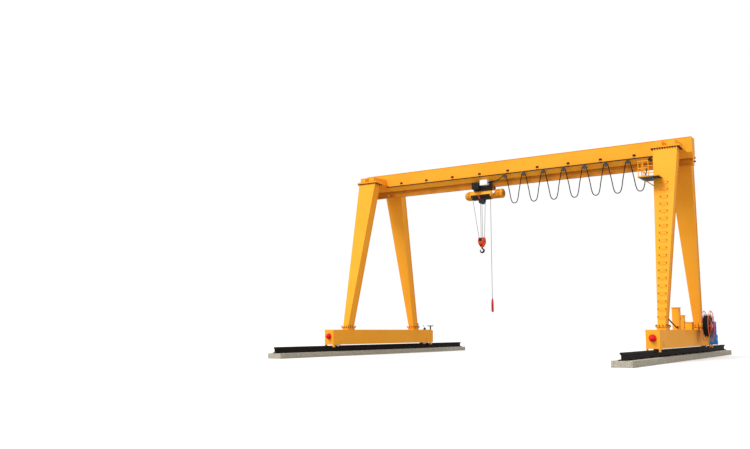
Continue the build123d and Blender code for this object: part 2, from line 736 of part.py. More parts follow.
def ladder_rungs():
    """U-shaped step irons up the outer face of the right front leg."""
    rise = LEG_TOP_Z - LEG_FOOT_Z
    lean = (LEG_FOOT_SPREAD - LEG_TOP_SPREAD) / rise
    pitch = (RUNG_LAST_Z - RUNG_FIRST_Z) / (RUNG_COUNT - 1)
    outer = Rectangle(RUNG_WIDTH, RUNG_STANDOFF, align=(Align.CENTER, Align.MIN))
    inner = Rectangle(
        RUNG_WIDTH - 2 * RUNG_BAR, RUNG_STANDOFF - RUNG_BAR, align=(Align.CENTER, Align.MIN)
    )
    outer = fillet(outer.vertices().group_by(Axis.Y)[-1], 1.5 * RUNG_BAR)
    rung = extrude(outer - inner, RUNG_BAR / 2, both=True)
    solids = []
    for i in range(RUNG_COUNT):
        z = RUNG_FIRST_Z + i * pitch
        y = -LEG_FOOT_SPREAD - LEG_DEPTH / 2 + lean * (z - LEG_FOOT_Z)
        face = Plane(origin=(SPAN / 2, y, z), x_dir=(-1, 0, 0), z_dir=(0, lean, 1))
        solids.append(face * rung)
    return Compound(solids)


def leg_centre_y(z):
    """Middle of the right front leg at a height."""
    share = (z - LEG_FOOT_Z) / (LEG_TOP_Z - LEG_FOOT_Z)
    return share * (LEG_FOOT_SPREAD - LEG_TOP_SPREAD) - LEG_FOOT_SPREAD


def landing_edges():
    """Left end and leg side in X, front and back in Y."""
    side = leg_side_x(LANDING_Z) - RUNNING_GAP
    middle = leg_centre_y(LANDING_Z)
    front = middle - LEG_DEPTH / 2 - LANDING_REACH
    back = middle + LEG_DEPTH / 2 + LANDING_BACK_EDGE
    return side - LANDING_LENGTH, side, front, back


def landing_platform():
    """Floor plate beside the leg and round its front corner, on two short braces."""
    left, side, front, back = landing_edges()
    high = LANDING_Z + LANDING_PLATE
    solid = block((left, side), (front, back), (LANDING_Z, high))
    wrap_back = leg_centre_y(high) - LEG_DEPTH / 2
    solid += block((side, side + LANDING_WRAP), (front, wrap_back), (LANDING_Z, high))
    solid -= leg_loft(1, -1, 0, LEG_DEPTH)
    low = LANDING_Z - LANDING_BRACE_DROP
    web = leg_side_x(low) + LEG_WEB_INSET
    slope = polygon(
        (left + LANDING_BRACE, LANDING_Z),
        (left + 2 * LANDING_BRACE, LANDING_Z),
        (web + LANDING_BRACE, low),
        (web + LANDING_BRACE, low - LANDING_BRACE),
    )
    apart = LEG_DEPTH / 2 - 1.5 * LANDING_BRACE
    for t in (-1, 1):
        brace = extrude(Plane.XZ * slope, LANDING_BRACE / 2, both=True)
        brace = Pos(0, leg_centre_y(low) + t * apart, 0) * brace
        solid += brace - leg_loft(1, -1, LEG_WEB_INSET, LEG_DEPTH)
    return solid


def landing_railing():
    """Posts with a top rail and a middle rail round three sides of the landing."""
    edge_left, edge_right, edge_front, edge_back = landing_edges()
    low = LANDING_Z + LANDING_PLATE
    half = LANDING_POST / 2
    left, right = edge_left + half, edge_right - LANDING_POST
    front, back = edge_front + half, edge_back - half
    middle = (front + back) / 2
    posts = [(left, front), (left, middle), (left, back), (right, front), (right, back)]
    top = low + LANDING_RAIL_HEIGHT
    solid = Part()
    for post_x, post_y in posts:
        solid += block((post_x - half, post_x + half), (post_y - half, post_y + half), (low, top))
    for z in (low + LANDING_RAIL_HEIGHT / 2, top - half):
        height = (z - half, z + half)
        solid += block((left - half, left + half), (front - half, back + half), height)
        for y in (front, back):
            solid += block((left - half, right + half), (y - half, y + half), height)
    solid -= leg_loft(1, -1, -LANDING_POST / 2, LEG_DEPTH + LANDING_POST)
    return solid


# Cable reel

def reel_bracket():
    face = SPAN / 2 + TRUCK_WIDTH / 2
    half = REEL_PLATE_WIDTH / 2
    width = (REEL_Y - half, REEL_Y + half)
    solid = block((face, face + REEL_PLATE), width, (REEL_PLATE_BOTTOM, REEL_PLATE_TOP))
    shoulder = REEL_INNER_X - RUNNING_GAP
    solid += rod((face, REEL_Y, REEL_Z), (shoulder, REEL_Y, REEL_Z), REEL_HUB_RADIUS)
    axle_end = REEL_OUTER_X - REEL_RING_THICKNESS
    solid += rod((face, REEL_Y, REEL_Z), (axle_end, REEL_Y, REEL_Z), REEL_AXLE_RADIUS)
    return solid


def reel_frame():
    """Two spoked rings on a hub tube."""
    ring = Circle(REEL_RADIUS) - Circle(REEL_RADIUS - REEL_RING)
    spoke_length = REEL_RADIUS - REEL_RING / 2
    spoke = Pos(spoke_length / 2, 0) * Rectangle(spoke_length, REEL_SPOKE)
    for i in range(REEL_SPOKES):
        ring += Rot(0, 0, 360 * i / REEL_SPOKES) * spoke
    ring += Circle(REEL_HUB_RADIUS + REEL_RING)
    ring = Pos(REEL_Y, REEL_Z) * ring
    start = (REEL_INNER_X, REEL_Y, REEL_Z)
    bore_end = REEL_OUTER_X - REEL_RING_THICKNESS
    solid = along_x(ring, (REEL_INNER_X, REEL_INNER_X + REEL_RING_THICKNESS))
    solid += along_x(ring, (bore_end, REEL_OUTER_X))
    solid += rod(start, (REEL_OUTER_X + REEL_CAP_REACH, REEL_Y, REEL_Z), REEL_HUB_RADIUS)
    solid -= rod(start, (bore_end + RUNNING_GAP, REEL_Y, REEL_Z), REEL_AXLE_RADIUS + RUNNING_GAP)
    return solid


def reel_winding():
    low = REEL_INNER_X + REEL_RING_THICKNESS + RUNNING_GAP
    high = REEL_OUTER_X - REEL_RING_THICKNESS - RUNNING_GAP
    ring = Circle(REEL_DRUM_RADIUS) - Circle(REEL_HUB_RADIUS + RUNNING_GAP)
    return along_x(Pos(REEL_Y, REEL_Z) * ring, (low, high))


# Festoon

def festoon_track():
    """Rail for the cable carriers on brackets from the girder's web, with the fixed end saddle."""
    end = FESTOON_END_X + CARRIER_LENGTH
    half = FESTOON_TRACK_WIDTH / 2
    top = FESTOON_TRACK_Z + FESTOON_TRACK_HEIGHT
    width = (FESTOON_Y - half, FESTOON_Y + half)
    solid = block((FESTOON_TRACK_START, end), width, (FESTOON_TRACK_Z, top))
    web = -GIRDER_WIDTH / 2
    plate = FESTOON_BRACKET_PLATE
    pitch = (end - FESTOON_TRACK_START - 2 * FESTOON_BRACKET_INSET) / (FESTOON_BRACKETS - 1)
    shelf = GIRDER_BOTTOM + plate
    for i in range(FESTOON_BRACKETS):
        x = FESTOON_TRACK_START + FESTOON_BRACKET_INSET + i * pitch
        width = (x - FESTOON_BRACKET_WIDTH / 2, x + FESTOON_BRACKET_WIDTH / 2)
        solid += block(width, (web - plate, web), (shelf, FESTOON_BRACKET_Z))
        solid += block(width, (FESTOON_Y - half, web), (shelf, shelf + plate))
        solid += block(width, (FESTOON_Y - plate / 2, FESTOON_Y + plate / 2), (top, shelf))
    solid += Pos(FESTOON_END_X, FESTOON_Y, 0) * carrier_body(SADDLE_WRAP, 0, FESTOON_TRACK_Z)
    return solid


def carrier_body(wrap_left, wrap_right, top):
    """Saddle with the clamped cable arched over its core, under a hanger plate."""
    tube = Pos(SADDLE_RADIUS, 0) * Circle(SADDLE_TUBE)
    arch = revolve(Plane.XY * tube, Axis.Y, wrap_left + wrap_right)
    arch = Rot(0, -90 - wrap_left, 0) * arch
    saddle = Pos(0, 0, SADDLE_Z) * arch
    core_radius = SADDLE_RADIUS - SADDLE_TUBE + SADDLE_CORE_LAP
    core = extrude(Plane.XZ * Circle(core_radius), CARRIER_PLATE, both=True)
    saddle += Pos(0, 0, SADDLE_Z) * core
    crown = SADDLE_Z + SADDLE_RADIUS
    half = CARRIER_LENGTH / 2
    saddle += block((-half, half), (-CARRIER_PLATE, CARRIER_PLATE), (crown, top))
    return saddle


def carrier(i):
    """Carrier on the festoon track: saddle, hanger and cheeks that reach round the rail."""
    left = SADDLE_LEAD_WRAP if i == 0 else SADDLE_WRAP
    x = FESTOON_FIRST_X + i * FESTOON_PITCH
    top = FESTOON_TRACK_Z - CARRIER_GAP
    solid = carrier_body(left, SADDLE_WRAP, top)
    half = CARRIER_LENGTH / 2
    inner = FESTOON_TRACK_WIDTH / 2 + CARRIER_GAP
    outer = inner + CARRIER_PLATE
    solid += block((-half, half), (-outer, outer), (top - CARRIER_PLATE, top))
    for t in (-1, 1):
        cheek = sorted((t * inner, t * outer))
        solid += block((-half, half), cheek, (top, FESTOON_TRACK_Z + FESTOON_TRACK_HEIGHT / 2))
    return Pos(x, FESTOON_Y, 0) * solid


def saddle_end(angle):
    """Offset of a saddle's cable end from the saddle's centre, at an angle from its top."""
    turn = math.radians(angle)
    return SADDLE_RADIUS * math.sin(turn), SADDLE_RADIUS * math.cos(turn)


def cord_path(name, points):
    """Path of straight runs and tangent arcs, each arc as large as its runs allow."""
    vectors = [Vector(*p) for p in points]
    radii = []
    for a, b, c in zip(vectors, vectors[1:], vectors[2:]):
        turn = (b - a).get_angle(c - b)
        shorter = min((b - a).length, (c - b).length)
        radii.append(0.45 * shorter / math.tan(math.radians(turn / 2)))
    print(name, "radii", [round(r) for r in radii])
    return FilletPolyline(*points, radius=radii)


def cord_tube(name, points, diameter):
    path = cord_path(name, points)
    section = Plane(origin=path @ 0, z_dir=path % 0) * Circle(diameter / 2)
    tube = sweep(section, path)
    print(name, "volume share", round(tube.volume / (math.pi * diameter**2 / 4 * path.length), 4))
    return tube


def festoon_cable():
    """One hanging loop between each two saddles."""
    side, up = saddle_end(SADDLE_WRAP)
    run_x = LOOP_FIRST_RUN * math.cos(math.radians(SADDLE_WRAP))
    run_z = LOOP_FIRST_RUN * math.sin(math.radians(SADDLE_WRAP))
    solids = []
    for i in range(FESTOON_LOOPS):
        left = FESTOON_FIRST_X + i * FESTOON_PITCH
        middle = left + FESTOON_PITCH / 2
        shape = [(dx * FESTOON_PITCH, SADDLE_Z - dz * LOOP_DROP) for dx, dz in LOOP_SHAPE]
        falling = [(middle + dx, FESTOON_Y, z) for dx, z in shape]
        rising = [(middle - dx, FESTOON_Y, z) for dx, z in reversed(shape)]
        start = (left + side, FESTOON_Y, SADDLE_Z + up)
        first = (start[0] + run_x, FESTOON_Y, start[2] - run_z)
        end = (left + FESTOON_PITCH - side, FESTOON_Y, SADDLE_Z + up)
        last = (end[0] - run_x, FESTOON_Y, first[2])
        points = [start, first, *falling, *rising, last, end]
        solids.append(cord_tube(f"loop {i + 1}", points, CABLE_DIAMETER))
    return Compound(solids)


# Trolley and hoist, modelled about the trolley's middle and moved to its place

def at_trolley(solid):
    return Pos(TROLLEY_X, 0, 0) * solid


def trolley_frame():
    """Side plates with hanger bars across under the I-beam."""
    solid = Part()
    for t in (-1, 1):
        y = sorted((t * TROLLEY_PLATE_Y, t * (TROLLEY_PLATE_Y + TROLLEY_PLATE)))
        solid += block((-TROLLEY_HALF, TROLLEY_HALF), y, (TROLLEY_BOTTOM, TROLLEY_TOP))
        x = t * HANGER_X
        reach = TROLLEY_PLATE_Y + TROLLEY_PLATE
        solid += rod((x, -reach, HANGER_Z), (x, reach, HANGER_Z), HANGER_RADIUS)
    return at_trolley(solid)


def trolley_wheels():
    z = TRACK_BOTTOM + TRACK_FLANGE + TROLLEY_WHEEL_RADIUS + RUNNING_GAP
    outer = TROLLEY_PLATE_Y
    tread_end = TRACK_WIDTH / 2 + TROLLEY_WHEEL_GAP
    solids = []
    for tx in (-1, 1):
        for ty in (-1, 1):
            x = tx * TROLLEY_WHEEL_X
            inner = TRACK_WIDTH / 2 - TROLLEY_WHEEL_WIDTH
            wheel_part = rod((x, ty * inner, z), (x, ty * tread_end, z), TROLLEY_WHEEL_RADIUS)
            wheel_part += rod(
                (x, ty * tread_end, z), (x, ty * (tread_end + TROLLEY_WHEEL_FLANGE), z),
                TROLLEY_WHEEL_RADIUS + TROLLEY_WHEEL_FLANGE,
            )
            wheel_part += rod((x, ty * inner, z), (x, ty * outer, z), TROLLEY_AXLE_RADIUS)
            solids.append(at_trolley(wheel_part))
    return Compound(solids)


def trolley_motor():
    left = TROLLEY_MOTOR_LEFT
    depth = (TROLLEY_FACE_Y - TROLLEY_MOTOR_DEPTH, TROLLEY_FACE_Y)
    height = (TROLLEY_TOP - TROLLEY_MOTOR_HEIGHT, TROLLEY_TOP)
    solid = block((left, left + TROLLEY_MOTOR_LENGTH), depth, height)
    solid = chamfer(solid.edges().filter_by(Axis.X), TROLLEY_MOTOR_CHAMFER)
    return at_trolley(solid)


def electrical_boxes():
    """Control box on the trolley's side plate and the round terminal box on the hoist motor."""
    depth = (TROLLEY_FACE_Y - CONTROL_BOX_DEPTH, TROLLEY_FACE_Y)
    height = (CONTROL_BOX_TOP - CONTROL_BOX_HEIGHT, CONTROL_BOX_TOP)
    control = block((CONTROL_BOX_LEFT, CONTROL_BOX_RIGHT), depth, height)
    x = DRUM_RIGHT + HOIST_END_PLATE + TERMINAL_OFFSET
    z = HOIST_Z + TERMINAL_RISE
    terminal = rod((x, 0, z), (x, -TERMINAL_REACH, z), TERMINAL_RADIUS)
    terminal -= rod((HOIST_LEFT, 0, HOIST_Z), (HOIST_RIGHT, 0, HOIST_Z), MOTOR_RADIUS)
    return at_trolley(Compound([control, terminal]))


def hoist_frame():
    """End plates round the drum with lugs on the hanger bars, and a half cover over the drum."""
    solid = Part()
    plate = Circle(HOIST_END_RADIUS) - Circle(DRUM_SHAFT_RADIUS + RUNNING_GAP)
    for x in (DRUM_LEFT - HOIST_END_PLATE, DRUM_RIGHT):
        solid += along_x(Pos(0, HOIST_Z) * plate, (x, x + HOIST_END_PLATE))
    ring = Circle(COVER_RADIUS) - Circle(COVER_RADIUS - COVER_PLATE)
    lower = Pos(0, -COVER_RADIUS) * Rectangle(3 * COVER_RADIUS, 2 * COVER_RADIUS)
    cover = Pos(0, HOIST_Z) * (ring - lower)
    solid += along_x(cover, (DRUM_LEFT, DRUM_RIGHT))
    for t in (-1, 1):
        x = t * HANGER_X
        low = HOIST_Z + COVER_RADIUS - 2 * COVER_PLATE
        lug = block(
            (x - LUG_WIDTH / 2, x + LUG_WIDTH / 2),
            (-LUG_DEPTH / 2, LUG_DEPTH / 2),
            (low, HANGER_Z + LUG_RISE),
        )
        lug -= rod((x, -LUG_DEPTH, HANGER_Z), (x, LUG_DEPTH, HANGER_Z), HANGER_RADIUS)
        lug -= rod((DRUM_LEFT, 0, HOIST_Z), (HOIST_RIGHT, 0, HOIST_Z), COVER_RADIUS - COVER_PLATE / 2)
        solid += lug
    return at_trolley(solid)


def rope_drum():
    low, high = DRUM_LEFT + DRUM_GAP, DRUM_RIGHT - DRUM_GAP
    pitch = (high - low) / (2 * DRUM_GROOVES + 1)
    steps = []
    for i in range(2 * DRUM_GROOVES + 1):
        radius = DRUM_RADIUS - (DRUM_GROOVE_DEPTH if i % 2 else 0)
        steps += [(low + i * pitch, radius), (low + (i + 1) * pitch, radius)]
    shaft = DRUM_GAP + HOIST_END_PLATE - RUNNING_GAP
    steps = [(low - shaft, DRUM_SHAFT_RADIUS), (low, DRUM_SHAFT_RADIUS), *steps]
    steps += [(high, DRUM_SHAFT_RADIUS), (high + shaft, DRUM_SHAFT_RADIUS)]
    return at_trolley(spun_x(steps, 0, HOIST_Z))


def hoist_gearbox():
    right = DRUM_LEFT - HOIST_END_PLATE
    left = HOIST_LEFT
    neck = left + GEARBOX_NECK
    flange = GEARBOX_FLANGE
    r = GEARBOX_RADIUS
    steps = [
        (left, 0.62 * r),
        (left + GEARBOX_DOME, 0.86 * r),
        (neck, 0.9 * r),
        (neck, r),
        (neck + flange, r),
        (neck + flange, 0.92 * r),
        (right - flange, 0.92 * r),
        (right - flange, r),
        (right, r),
    ]
    return at_trolley(spun_x(steps, 0, HOIST_Z))


def hoist_motor():
    left = DRUM_RIGHT + HOIST_END_PLATE
    right = HOIST_RIGHT
    cap = right - MOTOR_CAP_LENGTH
    steps = [
        (left, MOTOR_RADIUS),
        (cap, MOTOR_RADIUS),
        (cap, MOTOR_CAP_RADIUS),
        (right - MOTOR_CAP_ROUND, MOTOR_CAP_RADIUS),
        (right, 0.84 * MOTOR_CAP_RADIUS),
    ]
    return at_trolley(spun_x(steps, 0, HOIST_Z))


def rope_guide():
    ring = Circle(COVER_RADIUS - COVER_PLATE - RUNNING_GAP) - Circle(DRUM_RADIUS + DRUM_GAP)
    x = (GUIDE_X - GUIDE_WIDTH / 2, GUIDE_X + GUIDE_WIDTH / 2)
    return at_trolley(along_x(Pos(0, HOIST_Z) * ring, x))


def rope_outlet():
    """Half-round sheave housing below the drum, hung from the end plates on two straps."""
    half = OUTLET_WIDTH / 2
    upper = Pos(0, OUTLET_RADIUS) * Rectangle(3 * OUTLET_RADIUS, 2 * OUTLET_RADIUS)
    disc = Circle(OUTLET_RADIUS) - upper
    solid = Pos(OUTLET_X, 0, OUTLET_Z) * extrude(Plane.XZ * disc, half, both=True)
    top = HOIST_Z - OUTLET_STRAP_DROP
    for t in (-1, 1):
        y = sorted((t * half, t * (half - COVER_PLATE)))
        width = (OUTLET_X - OUTLET_RADIUS, OUTLET_X + OUTLET_RADIUS)
        solid += block(width, y, (OUTLET_Z - OUTLET_LAP, top))
        solid += block((DRUM_LEFT, DRUM_RIGHT), y, (top - OUTLET_STRAP, top))
    return at_trolley(solid)


# Hook block and ropes

def sheave_x(t):
    return BLOCK_X + t * SHEAVE_SPACING / 2


def rope_falls():
    """Top and bottom of each fall: drum, both sides of the outlet sheave, and the dead end."""
    side = SHEAVE_RADIUS + ROPE_RADIUS + RUNNING_GAP
    drum_side = DRUM_RADIUS + ROPE_RADIUS + DRUM_GAP
    outlet = OUTLET_Z - OUTLET_RADIUS / 2
    outlet_side = OUTLET_WIDTH / 2 + ROPE_RADIUS + RUNNING_GAP
    return [
        ((DRUM_LEFT + FALL_DRUM_INSET, -drum_side, HOIST_Z), (sheave_x(-1), -side, BLOCK_Z)),
        ((OUTLET_X - FALL_LEFT, outlet_side, outlet), (sheave_x(-1), side, BLOCK_Z)),
        ((OUTLET_X - FALL_MIDDLE, -outlet_side, outlet), (sheave_x(1), -side, BLOCK_Z)),
        ((OUTLET_X + FALL_RIGHT, outlet_side, outlet), (sheave_x(1), side, BLOCK_Z)),
    ]


def wire_ropes():
    return at_trolley(Compound([rod(top, bottom, ROPE_RADIUS) for top, bottom in rope_falls()]))


def cheek_outline():
    tongue = BLOCK_TONGUE_WIDTH / 2
    drop = BLOCK_Z - BLOCK_TONGUE_Z
    cone = polygon((-BLOCK_RADIUS * 0.86, -BLOCK_RADIUS * 0.5), (BLOCK_RADIUS * 0.86, -BLOCK_RADIUS * 0.5),
                   (tongue, -drop), (-tongue, -drop))
    return Circle(BLOCK_RADIUS) + cone


def hook_block():
    """Two pear-shaped cheeks, a rim band open at the top, and the crosshead that holds the hook."""
    half = BLOCK_WIDTH / 2
    outline = Pos(0, BLOCK_Z) * cheek_outline()
    solid = Part()
    for t in (-1, 1):
        x = sorted((t * half, t * (half - BLOCK_CHEEK)))
        solid += along_x(outline, x)
        boss_end = t * (half + BLOCK_BOSS)
        solid += rod((t * half, 0, BLOCK_Z), (boss_end, 0, BLOCK_Z), 2 * SHEAVE_PIN_RADIUS)
    band = Circle(BLOCK_RADIUS) - Circle(BLOCK_RADIUS - BLOCK_BAND)
    band -= Pos(0, 0.65 * BLOCK_RADIUS) * Rectangle(3 * BLOCK_RADIUS, 1.3 * BLOCK_RADIUS)
    band -= Pos(0, -BLOCK_RADIUS) * Rectangle(1.2 * CROSSHEAD_DEPTH, BLOCK_RADIUS)
    inner = half - BLOCK_CHEEK
    solid += along_x(Pos(0, BLOCK_Z) * band, (-inner, inner))
    bottom = BLOCK_TONGUE_Z
    top = bottom + CROSSHEAD_HEIGHT
    cross = block((-inner, inner), (-CROSSHEAD_DEPTH / 2, CROSSHEAD_DEPTH / 2), (bottom, top))
    cross -= rod((0, 0, bottom), (0, 0, top), HOOK_SHANK_RADIUS + RUNNING_GAP)
    solid += cross
    return at_trolley(Pos(BLOCK_X, 0, 0) * solid)


def hook_sheaves():
    """Two grooved sheaves on one pin between the cheeks."""
    w = SHEAVE_WIDTH / 2
    rim = SHEAVE_RADIUS + SHEAVE_RIM
    inner = BLOCK_WIDTH / 2 - BLOCK_CHEEK
    steps = [(-inner, SHEAVE_PIN_RADIUS)]
    for t in (-1, 1):
        x = t * SHEAVE_SPACING / 2
        edge = w - SHEAVE_EDGE
        half = [(w, SHEAVE_PIN_RADIUS), (w, rim), (edge, rim), (ROPE_RADIUS, SHEAVE_RADIUS)]
        steps += [(x - dx, radius) for dx, radius in half]
        steps += [(x + dx, radius) for dx, radius in reversed(half)]
    steps += [(inner, SHEAVE_PIN_RADIUS)]
    return at_trolley(Pos(BLOCK_X, 0, 0) * spun_x(steps, 0, BLOCK_Z))


def hook():
    """Forged hook: nut and shank through the crosshead, S-bend, round bowl and tip."""
    bowl = HOOK_BOWL_RADIUS
    centre_z = HOOK_BOTTOM + bowl + HOOK_SECTION_RADIUS
    neck_z = BLOCK_TONGUE_Z - HOOK_SECTION_RADIUS
    drop = neck_z - centre_z
    turn = 2 * math.atan(bowl / drop)
    bend = drop / (2 * math.sin(turn))
    degrees = math.degrees(turn)
    lead = Line((0, neck_z), (0, neck_z - HOOK_LEAD))
    first = JernArc(lead @ 1, (0, -1), bend, degrees)
    second = JernArc(first @ 1, first % 1, bend, -degrees)
    around = JernArc(second @ 1, second % 1, bowl, -180)
    tip = Line(around @ 1, (around @ 1) + (around % 1) * HOOK_SECTION_RADIUS)
    path = Plane.XZ * Wire([lead, first, second, around, tip])
    section = Plane(origin=path @ 0, z_dir=path % 0) * Circle(HOOK_SECTION_RADIUS)
    solid = sweep(section, path)
    top = BLOCK_TONGUE_Z + CROSSHEAD_HEIGHT
    solid += rod((0, 0, neck_z), (0, 0, top + HOOK_NUT_HEIGHT), HOOK_SHANK_RADIUS)
    solid += rod((0, 0, top + RUNNING_GAP), (0, 0, top + HOOK_NUT_HEIGHT), HOOK_NUT_RADIUS)
    return at_trolley(Pos(BLOCK_X, 0, 0) * solid)


# Cords that hang from the trolley

def trolley_lead():
    """Cable from the control box up to the first festoon carrier."""
    side, up = saddle_end(SADDLE_LEAD_WRAP)
    slope = math.radians(SADDLE_LEAD_WRAP)
    end = Vector(FESTOON_FIRST_X - side, FESTOON_Y, SADDLE_Z + up)
    start = Vector(TROLLEY_X + CONTROL_BOX_RIGHT, FESTOON_Y + CABLE_DIAMETER, LEAD_Z)
    last = end - Vector(math.cos(slope), 0, math.sin(slope)) * LEAD_RUN
    points = [start, start + Vector(LEAD_RUN, 0, 0), last, end]
    return cord_tube("trolley lead", points, CABLE_DIAMETER)


def pendant_cable():
    start = (PENDANT_X, PENDANT_Y, PENDANT_GLAND_Z)
    return at_trolley(rod(start, (PENDANT_X, PENDANT_Y, PENDANT_TOP), PENDANT_CABLE_DIAMETER / 2))


def pendant_station():
    half = PENDANT_WIDTH / 2
    deep = PENDANT_DEPTH / 2
    shoulder = PENDANT_TOP - 1.4 * PENDANT_WIDTH
    box = block((-half, half), (-deep, deep), (PENDANT_BOTTOM, shoulder))
    box = fillet(box.edges().filter_by(Axis.Z), 0.25 * PENDANT_WIDTH)
    neck = loft(Sketch() + [
        Pos(0, 0, shoulder) * Rectangle(0.9 * PENDANT_WIDTH, 0.9 * PENDANT_DEPTH),
        Pos(0, 0, PENDANT_TOP) * Rectangle(2 * PENDANT_GLAND_RADIUS, 2 * PENDANT_GLAND_RADIUS),
    ])
    return at_trolley(Pos(PENDANT_X, PENDANT_Y, 0) * (box + neck))


def pendant_gland():
    low = (PENDANT_X, PENDANT_Y, PENDANT_GLAND_Z)
    solid = rod(low, (PENDANT_X, PENDANT_Y, HOIST_Z), PENDANT_GLAND_RADIUS)
    solid -= rod((HOIST_LEFT, 0, HOIST_Z), (HOIST_RIGHT, 0, HOIST_Z), HOIST_END_RADIUS)
    return at_trolley(solid)


def trolley_stops():
    """Steel stops on the web of the I-beam near both ends of the trolley's run."""
    solids = []
    z = TRACK_BOTTOM + TRACK_FLANGE + TROLLEY_WHEEL_RADIUS
    for s in SIDES.values():
        x = s * (SPAN / 2 - LEG_TOP_WIDTH / 2)
        for t in (-1, 1):
            y = sorted((t * TRACK_WEB / 2, t * TRACK_WIDTH / 2))
            length = sorted((x, x + s * STOP_LENGTH))
            solids.append(block(length, y, (z - STOP_HEIGHT / 2, z + STOP_HEIGHT / 2)))
    return Compound(solids)


def nodes():
    yield "foundation_strips", both_sides(foundation_strip)
    yield "crane_rails", both_sides(crane_rail)
    yield "main_girder", main_girder()
    yield "track_beam", track_beam()
    yield "girder_end_plates", both_sides(end_plate)
    for side, s in SIDES.items():
        yield f"{side}_brackets", Compound([bracket(s, e) for e in ENDS.values()])
        yield f"{side}_truck", truck(s)
        yield f"{side}_handwheel", handwheel(s)
        for end, e in ENDS.items():
            yield f"{end}_{side}_leg", leg(s, e)
            yield f"{end}_{side}_wheel", wheel(s, e)
    yield "buffers", buffers()
    yield "trolley_stops", trolley_stops()
    yield "rail_clamps", both_sides(rail_clamp)
    yield "drive_units", both_sides(drive_unit)
    yield "cabinets", cabinets()
    yield "ladder_rungs", ladder_rungs()
    yield "landing_platform", landing_platform()
    yield "landing_railing", landing_railing()
    yield "reel_bracket", reel_bracket()
    yield "reel_frame", reel_frame()
    yield "reel_winding", reel_winding()
    yield "festoon_track", festoon_track()
    for i in range(FESTOON_LOOPS):
        yield f"festoon_carrier_{i + 1}", carrier(i)
    yield "festoon_cable", festoon_cable()
    yield "trolley_lead", trolley_lead()
    yield "trolley_frame", trolley_frame()
    yield "trolley_wheels", trolley_wheels()
    yield "trolley_motor", trolley_motor()
    yield "electrical_boxes", electrical_boxes()
    yield "hoist_frame", hoist_frame()
    yield "rope_drum", rope_drum()
    yield "hoist_gearbox", hoist_gearbox()
    yield "hoist_motor", hoist_motor()
    yield "rope_guide", rope_guide()
    yield "rope_outlet", rope_outlet()
    yield "wire_ropes", wire_ropes()
    yield "hook_block", hook_block()
    yield "hook_sheaves", hook_sheaves()
    yield "hook", hook()
    yield "pendant_gland", pendant_gland()
    yield "pendant_cable", pendant_cable()
    yield "pendant_station", pendant_station()


os.makedirs("parts", exist_ok=True)
for name, solid in nodes():
    export_step(solid, f"parts/{name}.step")
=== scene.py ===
import json
import math

import bmesh
import bpy
from mathutils import Matrix, Vector

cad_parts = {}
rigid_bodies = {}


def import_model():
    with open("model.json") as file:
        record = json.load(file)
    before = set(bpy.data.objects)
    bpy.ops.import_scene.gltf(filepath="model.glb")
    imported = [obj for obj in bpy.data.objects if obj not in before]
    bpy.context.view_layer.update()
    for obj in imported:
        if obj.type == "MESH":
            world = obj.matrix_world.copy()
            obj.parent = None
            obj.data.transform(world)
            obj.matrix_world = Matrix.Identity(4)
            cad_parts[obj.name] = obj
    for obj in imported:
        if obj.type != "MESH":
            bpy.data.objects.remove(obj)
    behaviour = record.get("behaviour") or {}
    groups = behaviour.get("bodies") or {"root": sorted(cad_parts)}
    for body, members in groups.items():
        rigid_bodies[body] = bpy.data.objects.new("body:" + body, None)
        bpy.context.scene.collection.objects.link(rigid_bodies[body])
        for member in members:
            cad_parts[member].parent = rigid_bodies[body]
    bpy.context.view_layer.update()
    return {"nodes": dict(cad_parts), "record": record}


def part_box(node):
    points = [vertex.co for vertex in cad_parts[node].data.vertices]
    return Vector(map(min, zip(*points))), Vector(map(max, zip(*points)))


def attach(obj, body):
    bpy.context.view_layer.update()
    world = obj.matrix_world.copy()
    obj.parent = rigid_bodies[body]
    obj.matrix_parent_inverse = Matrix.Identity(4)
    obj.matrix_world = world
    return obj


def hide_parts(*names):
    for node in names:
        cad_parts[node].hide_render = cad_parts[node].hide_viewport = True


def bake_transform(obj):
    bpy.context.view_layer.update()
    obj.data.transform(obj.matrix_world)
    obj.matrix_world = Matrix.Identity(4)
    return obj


# Empty scene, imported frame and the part's own box

for old in list(bpy.data.objects):
    bpy.data.objects.remove(old, do_unlink=True)

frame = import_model()
scene = bpy.context.scene
scene.view_settings.view_transform = "Standard"


def linked(name, data):
    """New object in the scene."""
    made = bpy.data.objects.new(name, data)
    scene.collection.objects.link(made)
    return made


# Camera at the photo's place

CAMERA_PLACE = (14.52, -32.806, 1.165)
CAMERA_RISE = 7.507
CAMERA_TURN = 33.83
SENSOR_WIDTH = 36
LENS = 38.26
FAR_CLIP = 500

camera_data = bpy.data.cameras.new("camera")
camera_data.sensor_width = SENSOR_WIDTH
camera_data.lens = LENS
camera_data.clip_end = FAR_CLIP
camera = linked("camera", camera_data)
camera.location = CAMERA_PLACE
camera.rotation_euler = (math.radians(90 + CAMERA_RISE), 0, math.radians(CAMERA_TURN))
scene.camera = camera

# Places read from the frame, in metres

SIDES = (-1, 1)
CORNERS = [(s, e) for s in SIDES for e in SIDES]


def vec(x, y, z):
    return Vector((x, y, z))


def centre_of(node):
    low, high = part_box(node)
    return (low + high) / 2


X, Y, Z = vec(1, 0, 0), vec(0, 1, 0), vec(0, 0, 1)
truck_low, truck_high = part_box("right_truck")
leg_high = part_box("back_right_leg")[1]
bracket_low, bracket_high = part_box("right_brackets")
RAIL_X, WHEEL_Y, WHEEL_Z = centre_of("back_right_wheel")
TRUCK_SIDE = (truck_high.x - truck_low.x) / 2
TRUCK_END = truck_high.y
TRUCK_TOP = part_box("cabinets")[0].z
WEB_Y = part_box("girder_end_plates")[1].y
GIRDER_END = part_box("main_girder")[1].x
TROLLEY_X = centre_of("trolley_frame").x

# Materials

